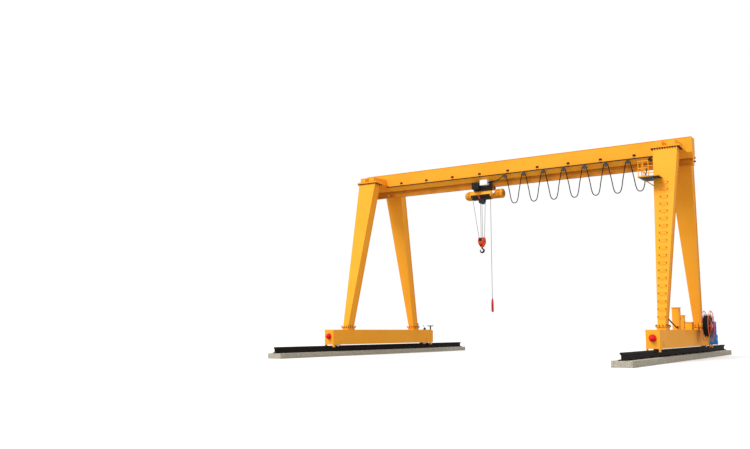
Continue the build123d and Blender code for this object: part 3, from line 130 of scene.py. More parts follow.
YELLOW = (250, 171, 50)
BARE_STEEL = (52, 42, 34)
# Blue-grey painted shade for the downward faces of the landing floor
UNDERSIDE_SHADE = (48, 56, 66)
PATCH_EDGES = (0.35, 0.75)
PATCH_DETAIL, GRAIN_DETAIL = 6, 4
GLOSS_SPREAD = 0.08
MATERIALS = {}


def srgb(r, g, b):
    """Linear colour from values of 0 to 255."""
    def linear(v):
        v /= 255
        return v / 12.92 if v <= 0.04045 else ((v + 0.055) / 1.055) ** 2.4
    return (linear(r), linear(g), linear(b), 1)


def feed(tree, node, inputs):
    """Set inputs of a shader node, each to a value or to another node's output."""
    for name, value in inputs.items():
        if isinstance(value, bpy.types.NodeSocket):
            tree.links.new(value, node.inputs[name])
        else:
            node.inputs[name].default_value = value
    return node


def add(tree, kind, inputs):
    return feed(tree, tree.nodes.new("ShaderNode" + kind), inputs)


def cloud(tree, scale, detail):
    """Noise fixed to the part."""
    place = add(tree, "TexCoord", {}).outputs["Object"]
    return add(tree, "TexNoise", {"Vector": place, "Scale": scale, "Detail": detail}).outputs["Fac"]


def material(name, shade, second, patch, grain, relief=0.1, depth=0.002,
             roughness=0.5, shine=0.12, metallic=0.0):
    """Two shades and an uneven gloss in soft patches, over a fine grain."""
    made = MATERIALS[name] = bpy.data.materials.new(name)
    made.use_nodes = True
    tree = made.node_tree
    patches = cloud(tree, patch, PATCH_DETAIL)
    ramp = add(tree, "ValToRGB", {"Fac": patches})
    for element, position, colour in zip(ramp.color_ramp.elements, PATCH_EDGES, (shade, second)):
        element.position = position
        element.color = srgb(*colour)
    span = {"To Min": roughness - GLOSS_SPREAD, "To Max": roughness + GLOSS_SPREAD}
    gloss = add(tree, "MapRange", {"Value": patches, **span})
    grains = cloud(tree, grain, GRAIN_DETAIL)
    bump = add(tree, "Bump", {"Height": grains, "Strength": relief, "Distance": depth})
    feed(tree, tree.nodes["Principled BSDF"], {
        "Base Color": ramp.outputs["Color"], "Roughness": gloss.outputs["Result"],
        "Normal": bump.outputs["Normal"], "Specular IOR Level": shine, "Metallic": metallic,
    })


def two_tone(name, axis, test, edge, shade, coordinate="Object"):
    """Another colour where one coordinate of the part lies past an edge."""
    tree = MATERIALS[name].node_tree
    shader = tree.nodes["Principled BSDF"]
    first = shader.inputs["Base Color"].links[0].from_socket
    place = add(tree, "TexCoord", {}).outputs[coordinate]
    split = add(tree, "SeparateXYZ", {0: place})
    past = add(tree, "Math", {0: split.outputs[axis], 1: edge})
    past.operation = test
    mix = add(tree, "MixRGB", {"Fac": past.outputs[0], "Color1": first, "Color2": srgb(*shade)})
    feed(tree, shader, {"Base Color": mix.outputs["Color"]})


def yellow_paint(name, shade=YELLOW, second=(246, 163, 44), patch=0.9):
    material(name, shade, second, patch, grain=35, relief=0.06, shine=0.05)


yellow_paint("yellow_paint")
# Random dark brown patches on the hoist's gear case, motor and ribs: painted shade for the shadows of the
# ribs
yellow_paint("cast_yellow_rib_shade", second=(186, 114, 30), patch=12)
# Darker yellow with brown patches for the track beam: painted shade for the shaded belly under the girder
yellow_paint("track_yellow_painted_shade", (216, 140, 42), (190, 120, 36), 2)
material("concrete", (198, 191, 175), (134, 127, 113), 22, 55, 0.8, 0.006, 0.9)
material("rail_steel", (30, 28, 27), (42, 37, 33), 3, 60, roughness=0.7, shine=0.06)
material("wheel_steel", (226, 224, 218), (196, 192, 184), 9, 90, metallic=0.2)
material("red_rubber", (240, 36, 38), (226, 30, 34), 14, 120)
material("dark_metal", (44, 43, 46), (33, 32, 35), 8, 90)
material("blue_paint", (62, 152, 236), (50, 134, 218), 7, 80, 0.06)
material("white_paint", (242, 241, 237), (230, 228, 223), 6, 90, 0.05)
material("red_paint", (236, 90, 38), (214, 72, 30), 9, 80, 0.08)
material("reel_paint", (234, 108, 74), (214, 94, 62), 9, 90, 0.06)
material("black_cable", (22, 22, 23), (31, 31, 32), 12, 300, 0.08, 0.0005, 0.6)
material("grey_cable", (122, 122, 122), (106, 106, 106), 12, 300, 0.08, 0.0005, 0.6)
material("galvanised", (84, 82, 79), (64, 62, 60), 20, 120, metallic=0.2)
material("rope_steel", (108, 107, 105), (86, 84, 81), 40, 300, metallic=0.2)
material("greased_rope", (62, 60, 57), (48, 46, 44), 40, 300)
material("hook_steel", (16, 16, 17), (27, 26, 25), 14, 90, 0.12)
material("pendant_red", (206, 52, 40), (184, 44, 34), 12, 160, 0.06)
material("bolt_steel", (40, 32, 25), (54, 43, 33), 30, 150)
# Brown washer steel: partly worn steel, partly painted shade for the dots at the step-iron ends
material("worn_and_shaded_steel", (126, 82, 36), (104, 68, 30), 30, 150)

# Nodes in two colours

FESTOON_RAIL_TOP = 8.118
BRACKET_FOOT = FESTOON_RAIL_TOP + 0.004
PLATE_FACE = GIRDER_END + 0.018
FACING_DOWN = -0.9
# The festoon rail's near-black is partly its own colour and partly painted shade for the dark line under
# the web
material("festoon_rail", (40, 34, 30), (32, 28, 26), 6, 90)
two_tone("festoon_rail", "Z", "GREATER_THAN", BRACKET_FOOT, YELLOW)
yellow_paint("girder_ends")
two_tone("girder_ends", "X", "GREATER_THAN", PLATE_FACE, BARE_STEEL)
two_tone("girder_ends", "X", "LESS_THAN", -PLATE_FACE, BARE_STEEL)
yellow_paint("clamp_screws")
two_tone("clamp_screws", "Z", "GREATER_THAN", TRUCK_TOP, BARE_STEEL)
# The landing floor's downward faces carry a blue-grey painted shade
yellow_paint("landing_floor_shaded_below")
two_tone("landing_floor_shaded_below", "Z", "LESS_THAN", FACING_DOWN, UNDERSIDE_SHADE, "Normal")

OWN_PAINT = {
    "festoon_track": "festoon_rail", "girder_end_plates": "girder_ends", "rail_clamps": "clamp_screws",
    "landing_platform": "landing_floor_shaded_below", "track_beam": "track_yellow_painted_shade", "hoist_gearbox": "cast_yellow_rib_shade",
    "hoist_motor": "cast_yellow_rib_shade",
}
MATERIALS["pendant_plastic"] = MATERIALS["pendant_red"]
for part in frame["record"]["subparts"]:
    node = frame["nodes"][part["node"]]
    node.data.materials.clear()
    node.data.materials.append(MATERIALS[OWN_PAINT.get(part["node"], part["material_slot"])])

# Spreads, bends and profiles


def even(first, last, count):
    """Numbers in equal steps."""
    return [first + (last - first) * i / (count - 1) for i in range(count)]


def spokes(count, u, v, first=0.0):
    """Unit vectors spread round a circle in the plane of two others."""
    turns = [2 * math.pi * (k + first) / count for k in range(count)]
    return [math.cos(t) * u + math.sin(t) * v for t in turns]


def arc(centre, start, end, radius, u, v, steps=6):
    """Points of a bend in the plane of two vectors, between two angles in degrees."""
    turns = [math.radians(angle) for angle in even(start, end, steps + 1)]
    return [Vector(centre) + radius * (math.cos(t) * u + math.sin(t) * v) for t in turns]


def disc(radius, straight, height, top):
    """Profile of a disc with a straight side and an eased top."""
    return [(0, 0), (0, radius), (straight, radius), (height, top), (height, 0)]


# Shapes gathered into pieces; a bolt's height and radii are shares of its width across the flats

HEAD_HEIGHT, WASHER_SHARE = 0.6, 0.15
WASHER_RADIUS, HEAD_RADIUS, HEAD_TOP = 0.72, 0.577, 0.53
SHARP_EDGE, BEVEL_EDGE = math.radians(35), math.radians(40)


class Piece:
    """Shapes joined in one mesh that rides on a body."""

    def __init__(self, name, body, slot, paint=None):
        self.name, self.body, self.slot = name, body, slot
        self.paint = MATERIALS[paint or slot]
        self.shape = bmesh.new()

    def place(self, verts, at, axis):
        turn = Z.rotation_difference(Vector(axis)).to_matrix().to_4x4()
        bmesh.ops.transform(self.shape, matrix=Matrix.Translation(at) @ turn, verts=verts)

    def circle(self, centre, u, v, radius, sides):
        return [self.shape.verts.new(centre + radius * spoke) for spoke in spokes(sides, u, v)]

    def skin(self, a, b):
        """Faces between two rings, or between a ring and a single point."""
        sides = max(len(a), len(b))
        for k in range(sides):
            n = (k + 1) % sides
            near = (a[k], a[n]) if len(a) > 1 else a
            far = (b[n], b[k]) if len(b) > 1 else b
            self.shape.faces.new((*near, *far))

    def box(self, corner, opposite):
        corner, opposite = Vector(corner), Vector(opposite)
        size = [abs(v) for v in opposite - corner]
        verts = bmesh.ops.create_cube(self.shape, size=1)["verts"]
        place = Matrix.Translation((corner + opposite) / 2) @ Matrix.Diagonal((*size, 1))
        bmesh.ops.transform(self.shape, matrix=place, verts=verts)

    def block(self, at, corners):
        """Box between two corners that are given from a point."""
        self.box(*(at + Vector(c) for c in corners))

    def rod(self, start, end, radius, sides=20, tip=None):
        start, end = Vector(start), Vector(end)
        tip = radius if tip is None else tip
        made = bmesh.ops.create_cone(self.shape, cap_ends=True, segments=sides, radius1=radius,
                                     radius2=tip, depth=(end - start).length)
        self.place(made["verts"], (start + end) / 2, end - start)

    def bolt(self, at, axis, across, height=None):
        """Hexagon head on a face, with a washer under it."""
        at, axis = Vector(at), Vector(axis).normalized()
        height = height or HEAD_HEIGHT * across
        washer = at + axis * WASHER_SHARE * height
        self.rod(at, washer, WASHER_RADIUS * across, 16)
        self.rod(washer, at + axis * height, HEAD_RADIUS * across, 6, HEAD_TOP * across)

    def bolt_circle(self, centre, axis, spread, radius, across):
        for spoke in spread:
            self.bolt(centre + radius * spoke, axis, across)

    def pin(self, centre, half, radius, sides=20):
        """Rod with its middle at a point."""
        self.rod(Vector(centre) - half, Vector(centre) + half, radius, sides)

    def ring(self, centre, axis, major, minor, steps=48, sides=10):
        rows = [self.circle(out * major, out, Z, minor, sides) for out in spokes(steps, X, Y)]
        for a, b in zip(rows, rows[1:] + rows[:1]):
            self.skin(a, b)
        self.place(sum(rows, []), centre, axis)

    def lathe(self, centre, axis, profile, sides=40):
        """Turn steps of (distance along, radius) about an axis; a radius of 0 closes an end."""
        rows = []
        for along, radius in profile:
            at = along * Z
            rows.append(self.circle(at, X, Y, radius, sides) if radius else [self.shape.verts.new(at)])
        for a, b in zip(rows, rows[1:]):
            self.skin(a, b)
        self.place(sum(rows, []), centre, axis)

    def closed(self, rings):
        """Skin over a row of rings, with a face on each end."""
        for a, b in zip(rings, rings[1:]):
            self.skin(a, b)
        self.shape.faces.new(rings[0][::-1])
        self.shape.faces.new(rings[-1])

    def loft(self, outlines):
        self.closed([[self.shape.verts.new(p) for p in outline] for outline in outlines])

    def tube(self, path, radius, sides=10):
        """Closed round bar along a list of points, of one radius or one for each point."""
        radii = radius if isinstance(radius, list) else [radius] * len(path)
        side = (path[1] - path[0]).orthogonal().normalized()
        rings = []
        for i, point in enumerate(path):
            tangent = (path[min(i + 1, len(path) - 1)] - path[max(i - 1, 0)]).normalized()
            side = (side - tangent * side.dot(tangent)).normalized()
            rings.append(self.circle(point, side, tangent.cross(side), radii[i], sides))
        self.closed(rings)

    def fin(self, start, end, out, low, high, thick):
        """Thin plate that stands out from an axis, between two radii."""
        wide = (end - start).normalized().cross(out) * thick / 2
        corners = (out * low - wide, out * high - wide, out * high + wide, out * low + wide)
        self.loft([[at + c for c in corners] for at in (start, end)])

    def done(self, bevel=0.0, replaces=()):
        mesh = bpy.data.meshes.new(self.name)
        bmesh.ops.recalc_face_normals(self.shape, faces=self.shape.faces)
        self.shape.to_mesh(mesh)
        self.shape.free()
        mesh.shade_smooth()
        mesh.set_sharp_from_angle(angle=SHARP_EDGE)
        mesh.materials.append(self.paint)
        piece = linked(self.name, mesh)
        if bevel:
            soft = piece.modifiers.new("edges", "BEVEL")
            soft.width = bevel
            soft.segments = 2
            soft.limit_method = "ANGLE"
            soft.angle_limit = BEVEL_EDGE
        if self.body:
            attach(piece, self.body)
        if replaces:
            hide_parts(*replaces)
        return piece


# Cords: the routes of the source in metres

CABLE = 0.04
CARRIERS = 7
PITCH = 0.917
FIRST_X = centre_of("festoon_carrier_2").x - PITCH
FESTOON_Y = -0.345
SADDLE_Z = 7.955
SADDLE_R = 0.09
WRAP = math.radians(78)
LEAD_WRAP = math.radians(42)
LEAD_OUTLET = vec(TROLLEY_X + 0.31, FESTOON_Y + CABLE, 7.8)
LEAD_RUN = 0.2
FIRST_RUN = 0.69
LOOP_DROP = 1.222
LOOP_SHAPE = [(-0.2, 0.8), (-0.11, 1.0)]
PENDANT_CABLE = 0.022
PENDANT_ROUTE = (7.05, 6.9, 4.8, 2.65, 2.51)
pendant_low, pendant_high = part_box("pendant_station")
PENDANT = centre_of("pendant_station")


def route_curve(name, points):
    data = bpy.data.curves.new(name, "CURVE")
    data.dimensions = "3D"
    data.resolution_u = 8
    spline = data.splines.new("NURBS")
    spline.points.add(len(points) - 1)
    for target, point in zip(spline.points, points):
        target.co = (*point, 1)
    spline.order_u = 3
    spline.use_endpoint_u = True
    return linked(name, data)


def route_points(points):
    """Points along a route's spline, read from a curve with no bevel."""
    curve = route_curve("route", points)
    bpy.context.view_layer.update()
    mesh = bpy.data.meshes.new_from_object(curve.evaluated_get(bpy.context.evaluated_depsgraph_get()))
    found = [v.co.copy() for v in mesh.vertices]
    bpy.data.meshes.remove(mesh)
    bpy.data.objects.remove(curve, do_unlink=True)
    return found


def length_of(path):
    return round(sum((b - a).length for a, b in zip(path, path[1:])), 2)


def cable_curve(name, points, diameter, paint, node):
    """Round cable on the trolley along a route."""
    cable = route_curve(name, points)
    cable.data.bevel_depth = diameter / 2
    cable.data.bevel_resolution = 4
    cable.data.use_fill_caps = True
    cable.data.materials.append(MATERIALS[paint])
    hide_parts(node)
    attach(cable, "trolley")
    return cable


def off_saddle(x, wrap, way):
    """Point where the cable leaves a carrier's saddle, to its left or right."""
    return vec(x + way * SADDLE_R * math.sin(wrap), FESTOON_Y, SADDLE_Z + SADDLE_R * math.cos(wrap))


def festoon_loops():
    for i in range(CARRIERS):
        left = FIRST_X + i * PITCH
        lowest = left + PITCH / 2
        start = off_saddle(left, WRAP, 1)
        first = start + FIRST_RUN * vec(math.cos(WRAP), 0, -math.sin(WRAP))
        down = [start, first]
        down += [vec(lowest + x * PITCH, FESTOON_Y, SADDLE_Z - z * LOOP_DROP) for x, z in LOOP_SHAPE]
        up = [vec(2 * lowest - p.x, p.y, p.z) for p in reversed(down)]
        path = route_points(down + up)
        loop = Piece(f"festoon_loop_{i + 1}", None, "black_cable")
        loop.tube(path, CABLE / 2, 12)
        loop = loop.done(replaces=["festoon_cable"])
        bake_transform(loop)


def trolley_lead():
    start = LEAD_OUTLET
    end = off_saddle(FIRST_X, LEAD_WRAP, -1)
    last = end - LEAD_RUN * vec(math.cos(LEAD_WRAP), 0, math.sin(LEAD_WRAP))
    points = [start, start + LEAD_RUN * X, last, end]
    lead = cable_curve("trolley_lead_cable", points, CABLE, "black_cable", "trolley_lead")
    length_of(route_points(points))


def pendant_cord():
    points = [vec(PENDANT.x, PENDANT.y, z) for z in PENDANT_ROUTE]
    cord = cable_curve("pendant_cord", points, PENDANT_CABLE, "grey_cable", "pendant_cable")


# Gantry: bolted joints, axle covers, limit switches and rail clips

FOOT_PLATE = 0.015
FOOT_WIDTH, FOOT_LENGTH = 0.42, 0.61
FOOT_BOLT, FOOT_NUT, FOOT_BOLT_INSET = 0.044, 0.036, 0.035
LEG_DEPTH = 0.461
LEG_TOP_Y = 1.136
LEG_FOOT_Y = leg_high.y - FOOT_LENGTH / 2
LEG_BASE = truck_high.z + FOOT_PLATE
LEG_LEAN = (LEG_FOOT_Y - LEG_TOP_Y) / (leg_high.z - LEG_BASE)
JOINT_SLOPE = (leg_high.z - bracket_low.z) / (bracket_high.y - WEB_Y)
LEG_FLANGE, BRACKET_FLANGE = 0.02, 0.024
SIDE_BOLT, SIDE_BOLT_X, SIDE_BOLT_ROW = 0.058, 0.507, (0.9, 1.05, 1.2, 1.35)
EDGE_BOLT, EDGE_BOLT_PITCH, EDGE_BOLT_INSET = 0.038, 0.095, 0.02
NUT_HEIGHT, PAINTED_HEIGHT = 0.05, 0.04
BUFFER_Z = centre_of("buffers").z
BUFFER_PLATE = 0.03
BUFFER_BOLT, BUFFER_CIRCLE = 0.018, 0.113
BACK_BUFFER_SHIFT = -0.11
DRIVE_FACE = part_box("drive_units")[1].x
DRIVE_BOLT = 0.024
DRIVE_BOLT_SPOTS = [(y, z) for y in (-0.09, 0.09) for z in (0.6, 0.88)]


def head_bolts(bolts, heads, s, e):
    """Flange bolts of a leg and its bracket: bare nuts below, painted heads above."""
    up = vec(0, -e * JOINT_SLOPE, 1).normalized()
    spots = [(t * SIDE_BOLT_X, y, SIDE_BOLT) for t in SIDES for y in SIDE_BOLT_ROW]
    spots += [(EDGE_BOLT_PITCH * n, bracket_high.y - EDGE_BOLT_INSET, EDGE_BOLT) for n in range(-5, 6)]
    for x, y, across in spots:
        at = vec(s * RAIL_X + x, e * y, bracket_low.z + (y - WEB_Y) * JOINT_SLOPE)
        bolts.bolt(at - up * LEG_FLANGE, -up, across, NUT_HEIGHT)
        heads.bolt(at + up * BRACKET_FLANGE, up, across, PAINTED_HEIGHT)


def foot_bolts(bolts, s, e):
    """Nuts round a leg's foot plate, and the heads under it."""
    out_x, out_y = FOOT_WIDTH / 2 - FOOT_BOLT_INSET, FOOT_LENGTH / 2 - FOOT_BOLT_INSET
    spots = [(t * out_x, y * out_y) for t in SIDES for y in (-1, -0.33, 0.33, 1)]
    spots += [(x * out_x, t * out_y) for t in SIDES for x in (-0.35, 0.35)]
    for x, y in spots:
        at = vec(s * RAIL_X + x, e * LEG_FOOT_Y + y, LEG_BASE)
        bolts.bolt(at, Z, FOOT_BOLT, FOOT_NUT)
        bolts.bolt(at - 2 * FOOT_PLATE * Z, -Z, FOOT_BOLT)


def buffer_bolts(bolts, s, e):
    shift = BACK_BUFFER_SHIFT if e > 0 else 0
    centre = vec(s * RAIL_X + shift, e * (TRUCK_END + BUFFER_PLATE), BUFFER_Z)
    bolts.bolt_circle(centre, e * Y, spokes(4, X, Z, 0.5), BUFFER_CIRCLE, BUFFER_BOLT)


def joint_bolts():
    bolts = Piece("joint_bolts", "gantry", "dark_metal", "bolt_steel")
    heads = Piece("painted_heads", "gantry", "yellow_paint")
    for s, e in CORNERS:
        head_bolts(bolts, heads, s, e)
        foot_bolts(bolts, s, e)
        buffer_bolts(bolts, s, e)
    for s in SIDES:
        for y, z in DRIVE_BOLT_SPOTS:
            bolts.bolt((s * DRIVE_FACE, WHEEL_Y + y, z), (s, 0, 0), DRIVE_BOLT)
    bolts.done()
    heads.done()


COVER = 0.014
COVER_BOLT, COVER_CIRCLE = 0.017, 0.062


def axle_covers():
    """Flat bolted caps over the axle ends that carry no drive."""
    covers = Piece("axle_covers", "gantry", "yellow_paint")
    cap = disc(0.085, 0.01, COVER, 0.08)
    for s, e in CORNERS:
        for t in SIDES:
            if e > 0 and t == s:
                continue
            centre = vec(s * RAIL_X + t * TRUCK_SIDE, e * WHEEL_Y, WHEEL_Z)
            covers.lathe(centre, t * X, cap)
            face = centre + t * COVER * X
            covers.bolt_circle(face, t * X, spokes(4, Y, Z, 0.5), COVER_CIRCLE, COVER_BOLT)
    covers.done()


SWITCH_INWARD, SWITCH_INSET = 0.13, 0.095
SWITCH = ((-0.045, -0.05, 0), (0.045, 0.05, 0.092))
SPINDLE_FOOT, SPINDLE_TOP, SPINDLE = 0.09, 0.142, 0.012
LEVER, LEVER_BAR = vec(-0.08, 0, 0.06), 0.008
ROLLER, ROLLER_HALF = 0.02, 0.014


def limit_switches():
    """Roller-lever switches on the trucks' back ends."""
    switches = Piece("limit_switches", "gantry", "dark_metal")
    for s in SIDES:
        at = vec(s * RAIL_X - SWITCH_INWARD, TRUCK_END - SWITCH_INSET, TRUCK_TOP)
        top = at + SPINDLE_TOP * Z
        tip = top + LEVER
        switches.block(at, SWITCH)
        switches.rod(at + SPINDLE_FOOT * Z, top, SPINDLE)
        switches.rod(top, tip, LEVER_BAR)
        switches.pin(tip, ROLLER_HALF * Y, ROLLER)
    switches.done(0.004)


CLIPS, CLIP_END, CLIP_HALF = 14, 7.41, 0.025
PACKING, PACKING_HEIGHT = (0.117, 0.165), 0.0345
CLIP, CLIP_HEIGHT = (0.092, 0.16), 0.046
CLIP_BOLT, CLIP_BOLT_X = 0.022, 0.138


def rail_clips():
    """Clips on packing blocks that hold the rail's foot on the concrete."""
    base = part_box("crane_rails")[0].z
    clips = Piece("rail_clips", "track", "rail_steel")
    layers = ((PACKING, 0, PACKING_HEIGHT), (CLIP, PACKING_HEIGHT, CLIP_HEIGHT))
    for s, t in CORNERS:
        for y in even(-CLIP_END, CLIP_END, CLIPS):
            at = vec(s * RAIL_X, y, base)
            for (near, far), low, high in layers:
                clips.box(at + vec(t * near, -CLIP_HALF, low), at + vec(t * far, CLIP_HALF, high))
            clips.bolt(at + vec(t * CLIP_BOLT_X, 0, CLIP_HEIGHT), Z, CLIP_BOLT)
    clips.done()


# Gantry: step irons and landing

STEPS = 19
FIRST_STEP, LAST_STEP = 1.62, 6.76
STEP_BAR = 0.012
STEP_HALF = 0.133
STEP_BEND = 0.035
STEP_REACH = 0.108


def step_irons():
    """Bent round bars with dark washers where they enter the leg; the washers' brown is partly painted
    shade at the rung ends.
    """
    irons = Piece("step_irons", "gantry", "yellow_paint")
    washers = Piece("step_washers", "gantry", "dark_metal", "worn_and_shaded_steel")
    washer = [(0, 0), (0, 0.026), (0.006, 0.024), (0.008, 0)]
    out = vec(0, -1, LEG_LEAN).normalized()
    inset = STEP_HALF - STEP_BEND
    rise = STEP_REACH - STEP_BEND
    for z in even(FIRST_STEP, LAST_STEP, STEPS):
        foot = vec(RAIL_X, -LEG_FOOT_Y - LEG_DEPTH / 2 + LEG_LEAN * (z - LEG_BASE), z)
        path = [foot - STEP_HALF * X]
        path += arc(foot - inset * X + rise * out, 180, 90, STEP_BEND, X, out)
        path += arc(foot + inset * X + rise * out, 90, 0, STEP_BEND, X, out)
        path += [foot + STEP_HALF * X]
        irons.tube(path, STEP_BAR)
        for t in SIDES:
            washers.lathe(foot + t * STEP_HALF * X, out, washer, 16)
    irons.done(replaces=["ladder_rungs"])
    washers.done()


POST = 0.0165
HALF_POST = 0.017
POST_FLANGE = 0.008
RAIL_BEND = 0.05
CORNER_POST = RAIL_BEND + 0.01
BESIDE_LEG = 0.035
GRATE_BARS = 30
GRATE_INSET, GRATE_LEFT, GRATE_RIGHT = 0.03, 0.01, 0.02
GRATE_HALF, GRATE_HEIGHT = 0.003, 0.012


def landing():
    """Round-tube railing with foot flanges, and bars of the open floor."""
    low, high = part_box("landing_railing")
    left, right = low.x + HALF_POST, high.x - HALF_POST
    front, back = low.y + HALF_POST, high.y - HALF_POST
    beside_leg = right - BESIDE_LEG
    top = high.z - HALF_POST
    rails = Piece("landing_rails", "gantry", "yellow_paint")
    for z in (top, (low.z + high.z) / 2):
        path = [vec(right, front, z)]
        path += arc((left + RAIL_BEND, front + RAIL_BEND, z), -90, -180, RAIL_BEND, X, Y)
        path += arc((left + RAIL_BEND, back - RAIL_BEND, z), 180, 90, RAIL_BEND, X, Y)
        path += [vec(beside_leg, back, z)]
        rails.tube(path, POST, 12)
    posts = [(left, front + CORNER_POST), (left, (front + back) / 2), (left, back - CORNER_POST)]
    posts += [((left + right) / 2, front), (right, front), (beside_leg, back)]
    for x, y in posts:
        rails.rod((x, y, low.z), (x, y, top), POST, 12)
        rails.rod((x, y, low.z), (x, y, low.z + POST_FLANGE), 2 * HALF_POST, 16)
    rails.done(replaces=["landing_railing"])
    grate = Piece("landing_grating", "gantry", "galvanised")
    for y in even(front + GRATE_INSET, back - GRATE_INSET, GRATE_BARS):
        grate.box((left - GRATE_LEFT, y - GRATE_HALF, low.z),
                  (right + GRATE_RIGHT, y + GRATE_HALF, low.z + GRATE_HEIGHT))
    grate.done()


# Gantry: cable reel, clamps, drives and cabinets

REEL_SPOKES = 8
REEL_BAR, REEL_SPOKE, CROSS_BAR = 0.013, 0.009, 0.007
REEL_EDGE = 0.002
REEL_CAP, CAP_GAP = 0.04, 0.008
HUB_RADIUS, HUB_PLATE, SPOKE_FOOT = 0.14, 0.02, 0.13
CROSS_CIRCLE = 0.455
CABLE_LAYERS = 8
CABLE_TURNS = 6
CORE_BORE, CORE_INSET = 0.11, 0.01


def reel_frame():
    """Wire hoops with hub plates, spokes and a cap, and cross bars on inner rings."""
    low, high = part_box("reel_frame")
    middle = centre_of("reel_frame")
    outer = (high.z - low.z) / 2 - REEL_BAR - REEL_EDGE
    faces = [vec(x, middle.y, middle.z) for x in (low.x + REEL_BAR, high.x - REEL_CAP - REEL_BAR)]
    hub = [(0, 0), (0, HUB_RADIUS), (HUB_PLATE, HUB_RADIUS), (HUB_PLATE, 0)]
    cap = [(0, 0), (0, 0.11), (0.03, 0.106), (0.044, 0.08), (0.044, 0)]
    hoops = Piece("reel_hoops", "cable_reel", "reel_paint")
    bars = Piece("reel_bars", "cable_reel", "dark_metal")
    for face in faces:
        hoops.ring(face, X, outer, REEL_BAR, 64)
        bars.ring(face, X, CROSS_CIRCLE, CROSS_BAR, 56)
        hoops.lathe(face - HUB_PLATE / 2 * X, X, hub)
        for spoke in spokes(REEL_SPOKES, Y, Z):
            hoops.rod(face + SPOKE_FOOT * spoke, face + outer * spoke, REEL_SPOKE, 10)
    for spoke in spokes(REEL_SPOKES, Y, Z):
        bars.rod(faces[0] + CROSS_CIRCLE * spoke, faces[1] + CROSS_CIRCLE * spoke, CROSS_BAR, 8)
    hoops.lathe(faces[1] + CAP_GAP * X, X, cap, 32)
    hoops.done(replaces=["reel_frame"])
    bars.done()


def reel_winding():
    """Cable turns side by side on the core, and layers that show on both faces."""
    low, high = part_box("reel_winding")
    middle = centre_of("reel_frame")
    start = vec(low.x, middle.y, middle.z)
    width = high.x - low.x
    strand = width / CABLE_TURNS / 2
    lap = (high.z - low.z) / 2 - strand
    near, far = CORE_INSET, width - CORE_INSET
    coil = Piece("reel_cable_turns", "cable_reel", "black_cable")
    coil.lathe(start, X, [(near, CORE_BORE), (near, lap), (far, lap), (far, CORE_BORE)], 48)
    for i in range(CABLE_TURNS):
        coil.ring(start + (2 * i + 1) * strand * X, X, lap, strand, 64, 8)
    step = (lap - HUB_RADIUS) / CABLE_LAYERS
    for x in (step / 2, width - step / 2):
        for i in range(CABLE_LAYERS):
            coil.ring(start + x * X, X, HUB_RADIUS + step * i, step / 2, 48, 8)
    coil.done(replaces=["reel_winding"])


RIM_RADIUS, RIM_BAR, RIM_DROP = 0.15, 0.019, 0.015
SCREW_RADIUS, HUB_DROP = 0.02, 0.035
WHEEL_SPOKE, WHEEL_DISH = 0.012, 0.01


def clamp_wheels():
    """Handwheels with a round rim, four spokes and a hub on the screw."""
    hub = [(0, 0), (0, 0.046), (0.044, 0.042), (0.052, 0.03), (0.052, 0)]
    for side in ("left", "right"):
        low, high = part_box(f"{side}_handwheel")
        centre = vec((low.x + high.x) / 2, (low.y + high.y) / 2, high.z - RIM_DROP)
        wheel = Piece(f"{side}_clamp_wheel", f"{side}_handwheel", "dark_metal", "hook_steel")
        wheel.ring(centre, Z, RIM_RADIUS, RIM_BAR, 40)
        wheel.lathe(centre - HUB_DROP * Z, Z, hub, 24)
        wheel.rod((centre.x, centre.y, low.z), centre, SCREW_RADIUS, 16)
        for spoke in spokes(4, X, Y):
            foot = centre + SCREW_RADIUS * spoke - WHEEL_DISH * Z
            wheel.rod(foot, centre + RIM_RADIUS * spoke, WHEEL_SPOKE, 10)
        wheel.done(replaces=[f"{side}_handwheel"])


MOTOR_X = 0.39
MOTOR_FINS = 28
FINS_LOW, FINS_HIGH = 1.0, 1.34
FIN_ROOT, FIN_EDGE, FIN_THICK = 0.116, 0.132, 0.008
COWL_DROP = 0.14
REDUCER_TOP = 0.95
BREATHER_X, BREATHER_Y = 0.035, 0.11
GRILLE_RINGS, GRILLE_WIRE, GRILLE_SINK = (0.03, 0.055, 0.08, 0.1), 0.004, 0.001


def drive_units():
    """Motor fins and fan cowl, the reducer's cap and breather, and the cowl's grille."""
    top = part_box("drive_units")[1].z
    fins = Piece("drive_fins", "gantry", "blue_paint")
    grilles = Piece("drive_grilles", "gantry", "dark_metal")
    cowl = [(0, 0.1), (0, 0.134), (0.12, 0.134), (0.138, 0.12), (0.138, 0.1)]
    cap = disc(0.075, 0.012, 0.016, 0.06)
    breather = [(0, 0), (0, 0.014), (0.15, 0.014), (0.15, 0.032), (0.22, 0.032), (0.23, 0.024), (0.23, 0)]
    for s in SIDES:
        foot = vec(s * (RAIL_X + MOTOR_X), WHEEL_Y, 0)
        for spoke in spokes(MOTOR_FINS, X, Y):
            fins.fin(foot + FINS_LOW * Z, foot + FINS_HIGH * Z, spoke, FIN_ROOT, FIN_EDGE, FIN_THICK)
        fins.lathe(foot + (top - COWL_DROP) * Z, Z, cowl, 36)
        fins.lathe((s * DRIVE_FACE, WHEEL_Y, WHEEL_Z), (s, 0, 0), cap, 28)
        fins.lathe((s * (DRIVE_FACE - BREATHER_X), WHEEL_Y - BREATHER_Y, REDUCER_TOP), Z, breather, 16)
        for radius in GRILLE_RINGS:
            grilles.ring(foot + (top - GRILLE_SINK) * Z, Z, radius, GRILLE_WIRE, 32, 6)
    fins.done()
    grilles.done()


# Each cabinet's place along the truck, width, length and height
CABINETS = ((-0.85, 0.25, 0.3, 0.85), (0.08, 0.15, 0.22, 0.57), (1.27, 0.24, 0.38, 0.31))
DOOR, DOOR_EDGE, DOOR_FOOT, DOOR_HEAD = 0.008, 0.02, 0.027, 0.045
HANDLE = ((0, -0.04, -0.03), (0.016, -0.022, 0.03))
HINGE, HINGE_HALF, HINGE_INSET, HINGE_SHARE = 0.007, 0.025, 0.004, 0.35


